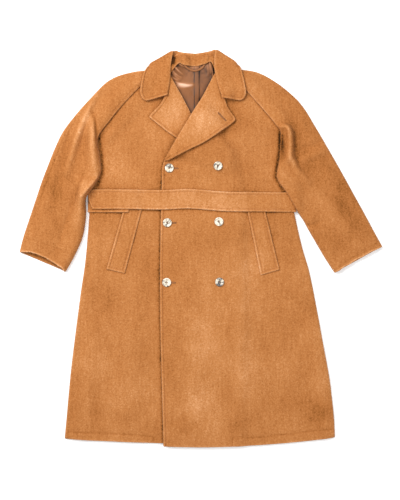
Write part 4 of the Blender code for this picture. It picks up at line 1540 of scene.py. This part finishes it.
def stored_marks(tree, tone_and_painted_light, seam_and_shadow, hollow_shade):
    """Weighed marks that a piece of cloth stores on its points, painted light and shade among them."""
    weights = {"tone_and_painted_light": tone_and_painted_light, "seam_and_shadow": seam_and_shadow, "hollow_shade": hollow_shade}
    return [(attribute(tree, name), weight) for name, weight in weights.items()]


def wool():
    """Brushed camel coating: patches of lighter and darker nap, streaks down the cloth, and single fibres."""
    made, tree, shader = blank("brushed_wool")
    patch, streak = grain(tree, (110, 140), 2.0), grain(tree, (7, 45), 2.0, 0.5)
    fleck, fibre = grain(tree, (4.2, 4.2), 1.5, 0.5, 0.8), grain(tree, (1.4, 3.2), 2.0, 0.6, 0.6)
    nap_terms = [(patch, 0.5), (streak, 0.30), (fleck, 0.72), (fibre, 0.35)]
    # The stored marks paint highlights, shade, shadow lines and shade in hollows into the colour
    shade = weighed(tree, nap_terms + stored_marks(tree, 0.34, -0.10, -0.45), -0.43)
    colour = ramp(
        tree,
        shade,
        [
            # Nearly black, for the deepest painted shade
            (0.0, (0.050, 0.017, 0.003)),
            (0.18, (0.250, 0.084, 0.016)),
            (0.40, (0.383, 0.137, 0.036)),
            (0.60, (0.460, 0.182, 0.055)),
            (0.85, (0.590, 0.268, 0.108)),
            (1.0, (0.710, 0.390, 0.200)),
        ],
    )
    sheen = {"Sheen Weight": 0.25, "Sheen Roughness": 0.35, "Sheen Tint": (1.0, 0.68, 0.38, 1.0)}
    links = {"Base Color": colour, "Roughness": weighed(tree, [(streak, 0.25)], 0.78)}
    dress(tree, shader, links, {"Specular IOR Level": 0.10, **sheen})
    bump(tree, shader, weighed(tree, [(streak, 0.4), (fleck, 1.0), (fibre, 0.5)], 0.0), 0.7, 1.8)
    return made


def satin():
    """Brown lining satin with a fine rib and soft gloss."""
    made, tree, shader = blank("lining_satin_weave")
    cloud, rib = grain(tree, (35, 60), 2.0), grain(tree, (0.7, 12), 1.0)
    # The stored marks paint the lining's highlights, shadow lines and shade in hollows into its colour
    shade = weighed(tree, [(cloud, 0.4), (rib, 0.18)] + stored_marks(tree, 0.30, -0.30, -0.3), 0.06)
    colour = ramp(
        tree,
        shade,
        [
            (0.0, (0.010, 0.004, 0.002)),
            (0.25, (0.19, 0.071, 0.024)),
            (0.5, (0.32, 0.124, 0.044)),
            (1.0, (0.76, 0.46, 0.31)),
        ],
    )
    links = {"Base Color": colour, "Roughness": weighed(tree, [(rib, 0.15)], 0.38)}
    dress(tree, shader, links, {"Specular IOR Level": 0.22, "Anisotropic": 0.5, "Sheen Weight": 0.1})
    bump(tree, shader, rib, 0.15, 0.2)
    return made


def horn():
    """Polished horn: cream with slate and brown marks, more of them where the button's share is larger."""
    made, tree, shader = blank("mottled_horn")
    blot, vein = grain(tree, (12, 12), 2.0, 0.5, 1.2), grain(tree, (3, 4), 2.0, 0.5, 2.5)
    shade = weighed(tree, [(blot, 1.1), (vein, 0.22), (attribute(tree, "mottle"), 0.26)], -0.12)
    colour = ramp(
        tree,
        shade,
        [
            (0.42, (0.84, 0.78, 0.66)),
            (0.62, (0.74, 0.65, 0.50)),
            (0.70, (0.21, 0.19, 0.17)),
            (0.82, (0.06, 0.065, 0.075)),
        ],
    )
    links = {"Base Color": colour, "Roughness": weighed(tree, [(vein, 0.2)], 0.16)}
    dress(tree, shader, links, {"Coat Weight": 0.4, "Coat Roughness": 0.12})
    bump(tree, shader, vein, 0.08, 0.2)
    return made


def thread(name, dark, light):
    """Twisted sewing thread."""
    made, tree, shader = blank(name)
    twist, worn = grain(tree, (0.5, 0.9), 1.0), grain(tree, (6, 6), 2.0)
    colour = ramp(tree, weighed(tree, [(twist, 0.6), (worn, 0.5)], -0.05), [(0.2, dark), (0.8, light)])
    links = {"Base Color": colour, "Roughness": weighed(tree, [(worn, 0.2)], 0.6)}
    dress(tree, shader, links, {"Sheen Weight": 0.2})
    bump(tree, shader, twist, 0.3, 0.2)
    return made


def paper():
    """Plain pale surface that the coat lies on."""
    made, tree, shader = blank("pale_floor")
    colour = ramp(tree, grain(tree, (900, 900), 1.0), [(0.3, (0.90, 0.90, 0.90)), (0.7, (0.92, 0.92, 0.92))])
    glow = {"Emission Color": (1.0, 1.0, 1.0, 1.0), "Emission Strength": 0.2}
    dress(tree, shader, {"Base Color": colour}, {"Roughness": 0.9, "Specular IOR Level": 0.1, **glow})
    return made


def lay_floor():
    mesh = bpy.data.meshes.new("floor")
    half, low = FLOOR_HALF, FLOOR_LEVEL
    corners = [(-half, -half, low), (half, -half, low), (half, half, low), (-half, half, low)]
    mesh.from_pydata(corners, [], [(0, 1, 2, 3)])
    mesh.materials.append(paper())
    placed("floor", mesh)


def add_light(name, place, size, power):
    """A soft square light that faces the coat."""
    data = bpy.data.lights.new(name, "AREA")
    data.size = size
    data.energy = power
    light = placed(name, data)
    light.location = place
    light.rotation_euler = light.location.to_track_quat("Z", "Y").to_euler()
    light.visible_camera = False


def light_and_camera():
    world = bpy.data.worlds.new("studio")
    world.use_nodes = True
    world.node_tree.nodes["Background"].inputs["Color"].default_value = (1.0, 1.0, 1.0, 1.0)
    world.node_tree.nodes["Background"].inputs["Strength"].default_value = SKY_STRENGTH
    bpy.context.scene.world = world
    for name, (place, size, power) in LIGHTS.items():
        add_light(name, place, size, power)
    bpy.context.scene.view_settings.view_transform = "Standard"
    data = bpy.data.cameras.new("camera")
    data.sensor_fit = "VERTICAL"
    data.sensor_height = SENSOR
    data.lens = SENSOR * CAMERA_HEIGHT / PICTURE_LONG_SIDE
    camera = placed("camera", data)
    camera.location = (*PICTURE_CENTRE, CAMERA_HEIGHT)
    bpy.context.scene.camera = camera


def coat_shift():
    """From the tables' frame to the row's, by the place of one button."""
    low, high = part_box("button_left_low")
    x, y, _ = BUTTONS["button_left_low"]
    return np.array([(low.x + high.x) / 2 / MM - x, (low.y + high.y) / 2 / MM - y, 0.0])


SHIFT = coat_shift()
OUTER_FACES = {}
WOOL, SATIN_CLOTH, HORN = wool(), satin(), horn()
THREAD = thread("camel_thread", (0.36, 0.13, 0.038), (0.52, 0.21, 0.075))
THREAD_DARK = thread("brown_thread", (0.12, 0.045, 0.012), (0.26, 0.100, 0.032))


def lay_coat():
    pile = Pile()
    floors = {"right": collar_floor(COLLAR_RIGHT), "left": collar_floor(COLLAR_LEFT)}
    underneath = belt_underneath()
    for lying in (*floors.values(), underneath):
        pile.add(lying + np.array([0, 0, CLOTH / 2]))
    lay_back(pile)
    lay_sleeve_back("right", SLEEVE_RIGHT, pile)
    lay_sleeve_back("left", SLEEVE_LEFT, pile)
    lining = lay_lining(pile)
    lay_front("front_right", FRONT_RIGHT, pile, False)
    lay_lapel("lapel_right", LAPEL_RIGHT, pile)
    lay_front("front_left", FRONT_LEFT, pile, True)
    lay_lapel("lapel_left", LAPEL_LEFT, pile, LAPEL_BUTTONHOLE)
    lay_welt("pocket_welt_right", WELT_RIGHT, pile)
    lay_welt("pocket_welt_left", WELT_LEFT, pile)
    buttonhole_thread(pile)
    lay_belt(pile, underneath)
    lay_sleeve_front("right", SLEEVE_RIGHT, pile)
    lay_sleeve_front("left", SLEEVE_LEFT, pile)
    loop = lay_loop(pile)
    declare(lining, "lining")
    lay_stand(pile)
    lay_collar("collar_right", COLLAR_RIGHT, floors["right"], pile)
    lay_collar("collar_left", COLLAR_LEFT, floors["left"], pile)
    # Painted shade in the hollows of every piece of cloth
    shade_hollows(pile)
    lay_buttons(pile)


light_and_camera()
lay_floor()
lay_coat()
